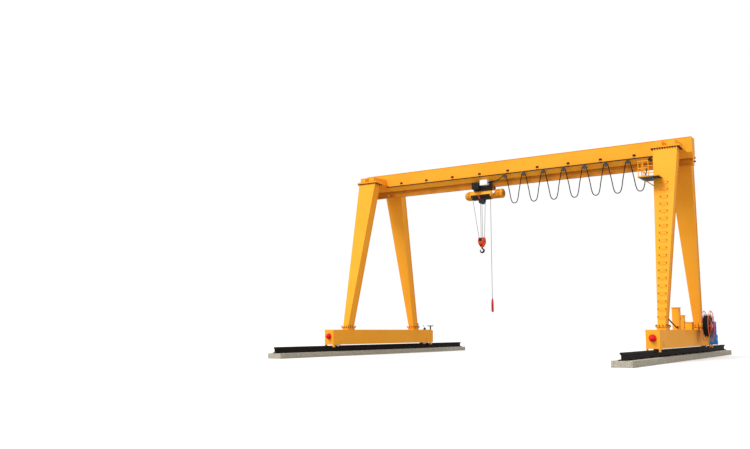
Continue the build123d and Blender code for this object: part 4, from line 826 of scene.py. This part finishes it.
def cabinet_fronts():
    """Doors on both long faces, with handles and hinges on the outer one."""
    doors = Piece("cabinet_doors", "gantry", "yellow_paint")
    handles = Piece("cabinet_fittings", "gantry", "dark_metal")
    for y, width, length, height in CABINETS:
        edge = length / 2 - DOOR_EDGE
        low, high = TRUCK_TOP + DOOR_FOOT, TRUCK_TOP + height - DOOR_HEAD
        for t in SIDES:
            face = RAIL_X + t * width / 2
            doors.box((face, y - edge, low), (face + t * DOOR, y + edge, high))
        face = RAIL_X + width / 2 + DOOR
        z = TRUCK_TOP + height / 2
        handles.block(vec(face, y + edge, z), HANDLE)
        for t in SIDES:
            place = (face, y - edge + HINGE_INSET, z + t * HINGE_SHARE * height)
            handles.pin(place, HINGE_HALF * Z, HINGE, 10)
    doors.done(0.003)
    handles.done(0.002)


CONDUIT_LEG, CONDUIT_BOX = vec(7.1, -2.6, 1.53), vec(7.06, -1.0, 1.25)
CONDUIT, CONDUIT_BEND, CONDUIT_RUN = 0.026, 0.12, 0.18


def cabinet_conduit():
    """Bent pipe with glands from the right front leg to the tall cabinet."""
    pipe = Piece("cabinet_conduit", "gantry", "dark_metal")
    gland = disc(0.042, 0.03, 0.05, 0.03)
    bend = vec(0, CONDUIT_RUN, -CONDUIT_BEND)
    path = [CONDUIT_LEG]
    path += arc(CONDUIT_LEG + bend, 90, 55, CONDUIT_BEND, Y, Z)
    path += arc(CONDUIT_BOX - bend, 235, 270, CONDUIT_BEND, Y, Z)
    path += [CONDUIT_BOX]
    pipe.tube(path, CONDUIT, 12)
    pipe.lathe(CONDUIT_LEG, Y, gland, 16)
    pipe.lathe(CONDUIT_BOX, -Y, gland, 16)
    pipe.done()


# Trolley: hoist, boxes and trolley motor; pairs are distances along the hoist's axis and off it

AXIS = vec(TROLLEY_X, 0, centre_of("rope_drum").z)
CASE_RIBS, CASE_RIB_ENDS = 14, (0.15, 0.27)
CASE_RIB = {"low": 0.18, "high": 0.212, "thick": 0.024}
DOME_RIB, DOME_RIB_ENDS = 0.012, ((0.005, 0.122), (0.108, 0.178))
CASE_BOLT, CASE_SEAT, CASE_CIRCLE = 0.02, 0.11, 0.188
MOTOR_RIBS, MOTOR_RIB_ENDS = 24, (0.024, -0.12)
MOTOR_RIB = {"low": 0.184, "high": 0.208, "thick": 0.012}
MOTOR_BOLT, MOTOR_SEAT, MOTOR_CIRCLE = 0.018, 0.03, 0.195
FAN_COVER = 0.005
FAN_RINGS, FAN_WIRE = (0.045, 0.085, 0.125), 0.007
DRUM_TURNS, DRUM_STEPS = 16, 24
DRUM_PITCH = 0.0226
DRUM_START = -0.56
DRUM_LAY, DRUM_ROPE = 0.1668, 0.009


def off_axis(along, out=0.0, spoke=Z):
    """Point along the hoist's axis from the trolley's middle, and off it."""
    return AXIS + along * X + out * spoke


def hoist():
    """Ribbed gear case, finned motor with its fan cover, and the bolt circles of both."""
    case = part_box("hoist_gearbox")[0].x - TROLLEY_X
    motor, motor_end = (end.x - TROLLEY_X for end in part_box("hoist_motor"))
    ribs = Piece("hoist_ribs", "trolley", "yellow_paint", "cast_yellow_rib_shade")
    bolts = Piece("hoist_bolts", "trolley", "dark_metal", "bolt_steel")
    grille = Piece("hoist_fan_grille", "trolley", "dark_metal")
    for spoke in spokes(CASE_RIBS, Y, Z):
        start, end = (off_axis(case + along, out, spoke) for along, out in DOME_RIB_ENDS)
        ribs.rod(start, end, DOME_RIB, 8)
        start, end = (off_axis(case + along) for along in CASE_RIB_ENDS)
        ribs.fin(start, end, spoke, **CASE_RIB)
    bolts.bolt_circle(off_axis(case + CASE_SEAT), -X, spokes(10, Y, Z, 0.5), CASE_CIRCLE, CASE_BOLT)
    start, end = off_axis(motor + MOTOR_RIB_ENDS[0]), off_axis(motor_end + MOTOR_RIB_ENDS[1])
    for spoke in spokes(MOTOR_RIBS, Y, Z):
        ribs.fin(start, end, spoke, **MOTOR_RIB)
    bolts.bolt_circle(off_axis(motor + MOTOR_SEAT), X, spokes(8, Y, Z, 0.5), MOTOR_CIRCLE, MOTOR_BOLT)
    ribs.lathe(off_axis(case), -X, [(0, 0), (0, 0.075), (0.012, 0.07), (0.014, 0)], 28)
    ribs.lathe(off_axis(motor), X, [(0, 0.18), (0, 0.205), (0.03, 0.205), (0.03, 0.18)], 48)
    ribs.lathe(off_axis(motor_end - FAN_COVER), X, [(0, 0), (0, 0.165), (0.0055, 0.165), (0.0055, 0)])
    for radius in FAN_RINGS:
        grille.ring(off_axis(motor_end), X, radius, FAN_WIRE, 40, 6)
    ribs.done()
    bolts.done()
    grille.done()


def drum_rope():
    """Turns of rope laid on the drum as a helix."""
    rope = Piece("drum_rope", "rope_drum", "rope_steel", "greased_rope")
    path = []
    for i in range(DRUM_TURNS * DRUM_STEPS + 1):
        turn = 2 * math.pi * i / DRUM_STEPS - math.pi / 2
        along = DRUM_START + DRUM_PITCH * i / DRUM_STEPS
        path.append(off_axis(along, DRUM_LAY, math.cos(turn) * Y + math.sin(turn) * Z))
    rope.tube(path, DRUM_ROPE, 8)
    rope.done()


LOWER_LUG = ((-0.037, -0.235, -0.06), (0.037, -0.19, -0.024))
UPPER_LUG = ((-0.037, -0.235, -0.016), (0.037, -0.19, 0.02))
LUG_TOP = 0.02
CLAMP_BOLT, CLAMP_X, CLAMP_Y = 0.016, 0.02, -0.215
CLAMP_ROD, CLAMP_LOW, CLAMP_HIGH = 0.006, 0.085, 0.045
SPRING_COILS, SPRING_RADIUS, SPRING_WIRE = (-0.068, -0.075, -0.082), 0.01, 0.0025


def rope_guide():
    """Split lug of the guide ring with its two clamping bolts and springs."""
    lug = Piece("rope_guide_clamp", "trolley", "red_paint")
    bolts = Piece("rope_guide_bolts", "trolley", "dark_metal", "bolt_steel")
    middle = off_axis(centre_of("rope_guide").x - TROLLEY_X)
    lug.block(middle, LOWER_LUG)
    lug.block(middle, UPPER_LUG)
    for t in SIDES:
        at = middle + vec(t * CLAMP_X, CLAMP_Y, 0)
        bolts.rod(at - CLAMP_LOW * Z, at + CLAMP_HIGH * Z, CLAMP_ROD, 10)
        bolts.bolt(at + LUG_TOP * Z, Z, CLAMP_BOLT)
        for z in SPRING_COILS:
            bolts.ring(at + z * Z, Z, SPRING_RADIUS, SPRING_WIRE, 20, 6)
    lug.done(0.006)
    bolts.done()


BOX_LEFT, BOX_RIGHT, BOX_DOOR_FOOT = TROLLEY_X - 0.06, TROLLEY_X + 0.3, 7.7
BOX_DOOR, BOX_DOOR_HEAD = 0.008, 0.01
LID, LID_SIDE, LID_FRONT, LID_BACK = 0.008, 0.015, 0.018, 0.2
BOX_HINGE, BOX_HINGE_HALF, BOX_HINGE_LEVELS = 0.006, 0.02, (7.74, 7.89)
BOX_HINGE_X, BOX_HINGE_Y = 0.004, 0.007
LOCK, LOCK_INSET, LOCK_FACE = 0.01, 0.03, 0.016
GLAND, GLAND_SPOTS, GLAND_Y, GLAND_TOP, GLAND_FOOT = 0.016, (0.02, 0.1, 0.18), -0.27, 7.69, 7.66


def control_box():
    """Door and rain lid of the white box, its hinges, locks and cable glands."""
    door = Piece("control_box_door", "trolley", "white_paint")
    fittings = Piece("control_box_fittings", "trolley", "dark_metal")
    low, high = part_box("electrical_boxes")
    face = low.y - BOX_DOOR
    door.box((BOX_LEFT, low.y, BOX_DOOR_FOOT), (BOX_RIGHT, face, high.z - BOX_DOOR_HEAD))
    door.box((BOX_LEFT - LID_SIDE, low.y - LID_FRONT, high.z),
             (BOX_RIGHT + LID_SIDE, low.y + LID_BACK, high.z + LID))
    lock = BOX_RIGHT - LOCK_INSET
    for z in BOX_HINGE_LEVELS:
        fittings.pin((BOX_LEFT - BOX_HINGE_X, low.y - BOX_HINGE_Y, z), BOX_HINGE_HALF * Z, BOX_HINGE, 10)
        fittings.rod((lock, face, z), (lock, low.y - LOCK_FACE, z), LOCK, 12)
    for x in GLAND_SPOTS:
        fittings.rod((TROLLEY_X + x, GLAND_Y, GLAND_TOP), (TROLLEY_X + x, GLAND_Y, GLAND_FOOT), GLAND, 6)
    gland = [(0, 0), (0, 0.034), (0.02, 0.034), (0.02, 0.026), (0.045, 0.026), (0.05, 0)]
    fittings.lathe(LEAD_OUTLET, X, gland, 24)
    door.done(0.003)
    fittings.done()


COOLING_RIBS, COOLING_FOOT, COOLING_PITCH = 9, 0.04, 0.03
COOLING_RIB = ((0.02, -0.008, 0), (0.26, 0.001, 0.01))
MOTOR_FLANGE = ((-0.07, -0.006, 0.04), (-0.01, 0.006, 0.28))
TERMINAL, TERMINAL_LID = vec(TROLLEY_X + 0.56, -0.26, 7.35), 0.014
TERMINAL_BOLT, TERMINAL_CIRCLE = 0.012, 0.05
FRAME_BOLTS = ((0.4, 7.54, 0.05), (0.34, 7.722, 0.04))


def trolley_motor():
    """Cooling ribs of the trolley's motor, the round terminal lid and the frame's bolts."""
    low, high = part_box("trolley_motor")
    fins = Piece("trolley_motor_fins", "trolley", "dark_metal")
    for i in range(COOLING_RIBS):
        fins.block(low + (COOLING_FOOT + COOLING_PITCH * i) * Z, COOLING_RIB)
    fins.block(vec(high.x, low.y, low.z), MOTOR_FLANGE)
    lid = Piece("terminal_lid", "trolley", "white_paint")
    bolts = Piece("terminal_bolts", "trolley", "dark_metal", "bolt_steel")
    lid.lathe(TERMINAL, -Y, disc(0.066, 0.01, TERMINAL_LID, 0.06), 32)
    face = TERMINAL - TERMINAL_LID * Y
    bolts.bolt_circle(face, -Y, spokes(4, X, Z, 0.5), TERMINAL_CIRCLE, TERMINAL_BOLT)
    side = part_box("trolley_frame")[1].y
    for t, end in CORNERS:
        for x, z, across in FRAME_BOLTS:
            bolts.bolt((TROLLEY_X + end * x, t * side, z), (0, t, 0), across)
    fins.done(0.002)
    lid.done()
    bolts.done()


# Wire ropes, hook block, hook and pendant

BLOCK = centre_of("hook_sheaves")
BLOCK_SIDE, TONGUE_SIDE = 0.115, 0.058
CHEEK = 0.026
CHEEK_RADIUS, CHEEK_TOP, CHEEK_WAIST = 0.19, 0.175, -0.06
CHEEK_ROWS = 31
TAPER_TOP = -0.14
TONGUE_DROP = 0.27
TONGUE_WIDTH = 0.052
PIN_Z = -0.235
DOME, DOME_BOLT = 0.016, 0.04
RING_SEAT, RING_BOLT, RING_CIRCLE = 0.01, 0.016, 0.095
PIN_BOLT = 0.036
BAND = 0.012
BAND_START, BAND_END, BAND_STEPS = -4, -70, 12
CROSSHEAD, CROSSHEAD_HEIGHT = 0.096, 0.058
FALL_Y = 0.1583
OUTLET_Y, OUTLET_Z = 0.1253, 6.944
DRUM_FALL = vec(-0.55, -0.181, 0)
OUTLET_FALLS = ((-0.21, -1, 1), (-0.16, 1, -1), (-0.04, 1, 1))
STRANDS, STRAND, STRAND_LAY, STRAND_STEPS = 6, 0.0036, 0.0064, 150
LAY_LENGTH = 0.13
SHEAVE_X = 0.043


def wire_ropes():
    """Four laid ropes that stretch between the trolley and the hook block."""
    falls = [(AXIS + DRUM_FALL, BLOCK - vec(SHEAVE_X, FALL_Y, 0))]
    for x, sheave, e in OUTLET_FALLS:
        start = vec(TROLLEY_X + x, e * OUTLET_Y, OUTLET_Z)
        falls.append((start, BLOCK + vec(sheave * SHEAVE_X, e * FALL_Y, 0)))
    for i, (start, end) in enumerate(falls):
        along = end - start
        side = along.orthogonal().normalized()
        other = along.normalized().cross(side)
        rope = Piece(f"wire_rope_{i + 1}", None, "rope_steel")
        for n in range(STRANDS):
            path = []
            for j in range(STRAND_STEPS + 1):
                turn = 2 * math.pi * (n / STRANDS + j / STRAND_STEPS * along.length / LAY_LENGTH)
                out = math.cos(turn) * side + math.sin(turn) * other
                path.append(start + along * j / STRAND_STEPS + STRAND_LAY * out)
            rope.tube(path, STRAND, 5)
        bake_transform(rope.done(replaces=["wire_ropes"]))


def cheek_at(z):
    """Outer face of a cheek at a height from the sheave pin: straight, then drawn in."""
    drawn = max(0.0, TAPER_TOP - z) / (TAPER_TOP + TONGUE_DROP)
    return BLOCK_SIDE - drawn * (BLOCK_SIDE - TONGUE_SIDE)


def cheek_width(z):
    """Half width of a cheek at a height from the sheave pin."""
    if z > CHEEK_WAIST:
        return math.sqrt(CHEEK_RADIUS ** 2 - z ** 2)
    waist = math.sqrt(CHEEK_RADIUS ** 2 - CHEEK_WAIST ** 2)
    return TONGUE_WIDTH + (waist - TONGUE_WIDTH) * (z + TONGUE_DROP) / (CHEEK_WAIST + TONGUE_DROP)


def cheek_outlines(t):
    """Level outlines of one cheek, from its top to the tongue."""
    outlines = []
    for z in even(CHEEK_TOP, -TONGUE_DROP, CHEEK_ROWS):
        y = cheek_width(z)
        outer, inner = t * cheek_at(z), t * (cheek_at(z) - CHEEK)
        corners = ((outer, -y, z), (outer, y, z), (inner, y, z), (inner, -y, z))
        outlines.append([BLOCK + Vector(p) for p in corners])
    return outlines


def band_outlines(t):
    """Outlines of the band between the cheeks' rims, on one lower side."""
    outlines = []
    for out in arc((0, 0, 0), BAND_START, BAND_END, 1, t * Y, Z, BAND_STEPS):
        points = [r * out for r in (CHEEK_RADIUS - BAND, CHEEK_RADIUS)]
        x = cheek_at(points[1].z) - CHEEK / 2
        outlines.append([BLOCK + p + end * x * X for p, end in zip(points + points[::-1], (-1, -1, 1, 1))])
    return outlines


def hook_block():
    """Pear-shaped cheeks with rim bands, domed covers, crosshead and bolts."""
    cheeks = Piece("hook_block_cheeks", "hook_block", "red_paint")
    bolts = Piece("hook_block_bolts", "hook_block", "dark_metal", "bolt_steel")
    dome = [(0, 0), (0, 0.14), (0.012, 0.11), (DOME, 0.07), (DOME, 0)]
    for t in SIDES:
        way = t * X
        face = BLOCK + BLOCK_SIDE * way
        cheeks.loft(cheek_outlines(t))
        cheeks.lathe(face, way, dome)
        bolts.bolt(face + DOME * way, way, DOME_BOLT)
        bolts.bolt_circle(face + RING_SEAT * way, way, spokes(6, Y, Z), RING_CIRCLE, RING_BOLT)
        bolts.bolt(BLOCK + cheek_at(PIN_Z) * way + PIN_Z * Z, way, PIN_BOLT)
        cheeks.loft(band_outlines(t))
    foot = BLOCK - TONGUE_DROP * Z
    reach = vec(TONGUE_SIDE - CHEEK / 2, CROSSHEAD / 2, CROSSHEAD_HEIGHT)
    cheeks.box(foot - vec(reach.x, reach.y, 0), foot + reach)
    cheeks.done(0.003, ["hook_block"])
    bolts.done()


HOOK_BOWL, HOOK_SECTION, HOOK_DROP = 0.092, 0.03, 0.273
HOOK_BACK, HOOK_TIP = 0.042, 0.022
BEND_STEPS, BOWL_STEPS, BACK_STEPS = 8, 28, 12
HOOK_NUT, NUT_RADIUS, NUT_GAP = 0.028, 0.046, 0.006
COLLAR, COLLAR_DROP = 0.026, 0.034


def hook_radii():
    """Radii along the hook: even, then swelling to the bowl, then thinning to the tip."""
    radii = [HOOK_SECTION] * (BEND_STEPS + 1)
    swell, thin = HOOK_BACK - HOOK_SECTION, HOOK_TIP - HOOK_BACK
    radii += [HOOK_SECTION + swell * (i + 1) / BEND_STEPS for i in range(BEND_STEPS)]
    last = BOWL_STEPS - 1 - BACK_STEPS
    radii += [HOOK_BACK + thin * max(0, i - BACK_STEPS) / last for i in range(BOWL_STEPS)]
    return radii + [0.8 * HOOK_TIP, 0.4 * HOOK_TIP]


def hook():
    """Forged hook with its nut, shank, collar, S-bend and bowl."""
    foot = BLOCK - TONGUE_DROP * Z
    neck = foot - HOOK_SECTION * Z
    bowl = foot + (HOOK_BOWL + HOOK_SECTION - HOOK_DROP) * Z
    drop = neck.z - bowl.z
    turn = 2 * math.atan(HOOK_BOWL / drop)
    bend = drop / (2 * math.sin(turn))
    turn = math.degrees(turn)
    path = arc(neck + bend * X, 180, 180 + turn, bend, X, Z, BEND_STEPS)
    path += arc(bowl + (HOOK_BOWL - bend) * X, turn, 0, bend, X, Z, BEND_STEPS)[1:]
    path += arc(bowl, 0, -180, HOOK_BOWL, X, Z, BOWL_STEPS)[1:]
    path += [path[-1] + 0.6 * HOOK_SECTION * Z, path[-1] + HOOK_SECTION * Z]
    body = Piece("hook_forging", "hook", "hook_steel")
    body.tube(path, hook_radii(), 20)
    nut = foot + CROSSHEAD_HEIGHT * Z
    body.rod(neck, nut + HOOK_NUT * Z, HOOK_SECTION)
    body.rod(nut + NUT_GAP * Z, nut + HOOK_NUT * Z, NUT_RADIUS, 6)
    collar = [(0, 0), (0, HOOK_SECTION), (0.012, NUT_RADIUS), (COLLAR, NUT_RADIUS), (COLLAR, 0)]
    body.lathe(foot - COLLAR_DROP * Z, Z, collar, 28)
    body.done(replaces=["hook"])


LATCH_X, LATCH_Z = 0.006, 4.838
LATCH_ROUTE = ((0, 0, 0), (-0.041, 0, -0.023), (-0.076, 0, -0.056), (-0.094, 0, -0.063))
LATCH_BAR, LATCH_PIN, LATCH_PIN_HALF = 0.008, 0.009, 0.036


def hook_latch():
    """Sprung safety latch across the hook's mouth."""
    latch = Piece("hook_latch", "hook", "galvanised")
    pivot = vec(BLOCK.x + LATCH_X, 0, LATCH_Z)
    latch.tube([pivot + Vector(p) for p in LATCH_ROUTE], LATCH_BAR, 8)
    latch.pin(pivot, LATCH_PIN_HALF * Y, LATCH_PIN, 12)
    latch.done()


BUTTON_ROWS, BUTTON_X, BUTTON_FOOT, BUTTON_PITCH = 3, 0.02, 0.085, 0.09
STOP_HEIGHT, BOOT_SINK = 0.37, 0.03


def pendant():
    """Three pairs of push buttons, the red stop button and the rubber boot."""
    face = vec(PENDANT.x, pendant_low.y, pendant_low.z)
    buttons = Piece("pendant_buttons", "trolley", "dark_metal")
    button = [(0, 0), (0, 0.0165), (0.008, 0.0165), (0.01, 0.013), (0.018, 0.012), (0.019, 0)]
    for i in range(BUTTON_ROWS):
        for t in SIDES:
            buttons.lathe(face + vec(t * BUTTON_X, 0, BUTTON_FOOT + BUTTON_PITCH * i), -Y, button, 20)
    boot = [(0, 0), (0, 0.022), (0.02, 0.022), (0.06, 0.0155), (0.09, 0.0135), (0.09, 0)]
    buttons.lathe((PENDANT.x, PENDANT.y, pendant_high.z - BOOT_SINK), Z, boot, 24)
    stop = Piece("pendant_stop", "trolley", "pendant_plastic", "red_rubber")
    mushroom = [(0, 0), (0, 0.013), (0.012, 0.013), (0.012, 0.021), (0.022, 0.019), (0.025, 0)]
    stop.lathe(face + STOP_HEIGHT * Z, -Y, mushroom, 24)
    buttons.done()
    stop.done()


# Festoon: bracket clamps, end stop and carrier rollers

BRACKETS = 9
BRACKET_INSET, BRACKET_DROP = 0.763, 0.06
GRIP = ((-0.058, -0.024, 0), (0.058, 0, 0.082))
GRIP_BOLT, GRIP_BOLT_SPOTS = 0.022, ((-0.04, -0.024, 0.029), (0.04, -0.024, 0.029))
STOP, STOP_DROP = ((-0.04, -0.027, -0.025), (0.02, 0.027, 0.028)), 0.018
STOP_BOLT, STOP_BOLT_SPOT = 0.02, vec(-0.01, 0, 0.028)
STOP_BUFFER, STOP_BUFFER_ENDS = 0.018, (0.04, 0.052)
ROLLER_END, ROLLER_CAP, ROLLER_RIM = vec(0.028, -0.036, -0.026), 0.016, 0.006
SADDLE_BOLT, SADDLE_HALF = 0.03, 0.008


def festoon_clamps():
    low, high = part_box("festoon_track")
    clamps = Piece("festoon_clamps", "gantry", "dark_metal", "hook_steel")
    for x in even(low.x + BRACKET_INSET, high.x - BRACKET_INSET, BRACKETS):
        at = vec(x, -WEB_Y, high.z - BRACKET_DROP)
        clamps.block(at, GRIP)
        for spot in GRIP_BOLT_SPOTS:
            clamps.bolt(at + Vector(spot), -Y, GRIP_BOLT)
    clamps.done(0.003)


def festoon_end_stop():
    """Block with a bolt and a buffer on the rail's free end."""
    stop = Piece("festoon_end_stop", "gantry", "red_paint")
    at = vec(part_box("festoon_track")[0].x, FESTOON_Y, FESTOON_RAIL_TOP - STOP_DROP)
    start, end = (at - x * X for x in STOP_BUFFER_ENDS)
    stop.block(at, STOP)
    stop.bolt(at + STOP_BOLT_SPOT, Z, STOP_BOLT)
    stop.rod(start, end, STOP_BUFFER, 16)
    stop.done(0.006)


def carrier_rollers():
    """Roller ends on each carrier, and the bolts through its saddle."""
    for i in range(CARRIERS + 1):
        x = FIRST_X + i * PITCH
        body = "gantry" if i == CARRIERS else f"festoon_carrier_{i + 1}"
        rollers = Piece(f"carrier_rollers_{i + 1}", body, "galvanised")
        for t in SIDES:
            end = vec(x + t * ROLLER_END.x, FESTOON_Y + ROLLER_END.y, FESTOON_RAIL_TOP + ROLLER_END.z)
            rollers.rod(end, end - ROLLER_RIM * Y, ROLLER_CAP, 14)
            rollers.bolt((x, FESTOON_Y + t * SADDLE_HALF, SADDLE_Z), t * Y, SADDLE_BOLT)
        rollers.done()


# All pieces on the part

festoon_loops()
trolley_lead()
pendant_cord()
joint_bolts()
axle_covers()
limit_switches()
rail_clips()
step_irons()
landing()
reel_frame()
reel_winding()
clamp_wheels()
drive_units()
cabinet_fronts()
cabinet_conduit()
hoist()
drum_rope()
rope_guide()
control_box()
trolley_motor()
wire_ropes()
hook_block()
hook()
hook_latch()
pendant()
festoon_clamps()
festoon_end_stop()
carrier_rollers()

# Stage: pale floor, soft light and a white background

FLOOR_SIZE, FLOOR_DROP = 600, 0.002
FLOOR_SHOWN = 0.9
FLOOR_BOUNCED = 0.4
FLOOR_GLOW_SHARE = 0.45
SKY = 0.9
SKY_TINT = (1.0, 0.99, 0.97, 1)
SUN = 2.4
SUN_SPREAD = 25
SUN_WAY = vec(0.25, 0.62, -0.75)


def seen_directly(tree):
    """One for camera, glossy and transmission rays, zero for the rest."""
    rays = add(tree, "LightPath", {}).outputs
    total = rays["Is Camera Ray"]
    for ray in ("Is Glossy Ray", "Is Transmission Ray"):
        either = add(tree, "Math", {0: total, 1: rays[ray]})
        either.operation = "MAXIMUM"
        total = either.outputs[0]
    return total


def plain(tree, kind, level):
    return add(tree, kind, {"Color": (level, level, level, 1)}).outputs[0]


def white_floor():
    bpy.ops.mesh.primitive_plane_add(size=FLOOR_SIZE, location=(0, 0, -FLOOR_DROP))
    floor = bpy.context.object
    floor.name = "floor"
    made = bpy.data.materials.new("floor_white")
    made.use_nodes = True
    tree = made.node_tree
    pale = plain(tree, "BsdfDiffuse", FLOOR_SHOWN)
    shown = add(tree, "MixShader", {"Fac": FLOOR_GLOW_SHARE, 1: pale, 2: plain(tree, "Emission", 1.0)})
    bounced = plain(tree, "BsdfDiffuse", FLOOR_BOUNCED)
    surface = add(tree, "MixShader", {"Fac": seen_directly(tree), 1: bounced, 2: shown.outputs[0]})
    feed(tree, tree.nodes["Material Output"], {"Surface": surface.outputs[0]})
    floor.data.materials.append(made)


def soft_light():
    world = bpy.data.worlds.new("world")
    scene.world = world
    world.use_nodes = True
    tree = world.node_tree
    sky = feed(tree, tree.nodes["Background"], {"Color": SKY_TINT, "Strength": SKY})
    white = plain(tree, "Background", 1.0)
    surface = add(tree, "MixShader", {"Fac": seen_directly(tree), 1: sky.outputs[0], 2: white})
    feed(tree, tree.nodes["World Output"], {"Surface": surface.outputs[0]})
    lamp = bpy.data.lights.new("sun", "SUN")
    lamp.energy = SUN
    lamp.angle = math.radians(SUN_SPREAD)
    sun = linked("sun", lamp)
    sun.rotation_euler = SUN_WAY.to_track_quat("-Z", "Y").to_euler()


white_floor()
soft_light()
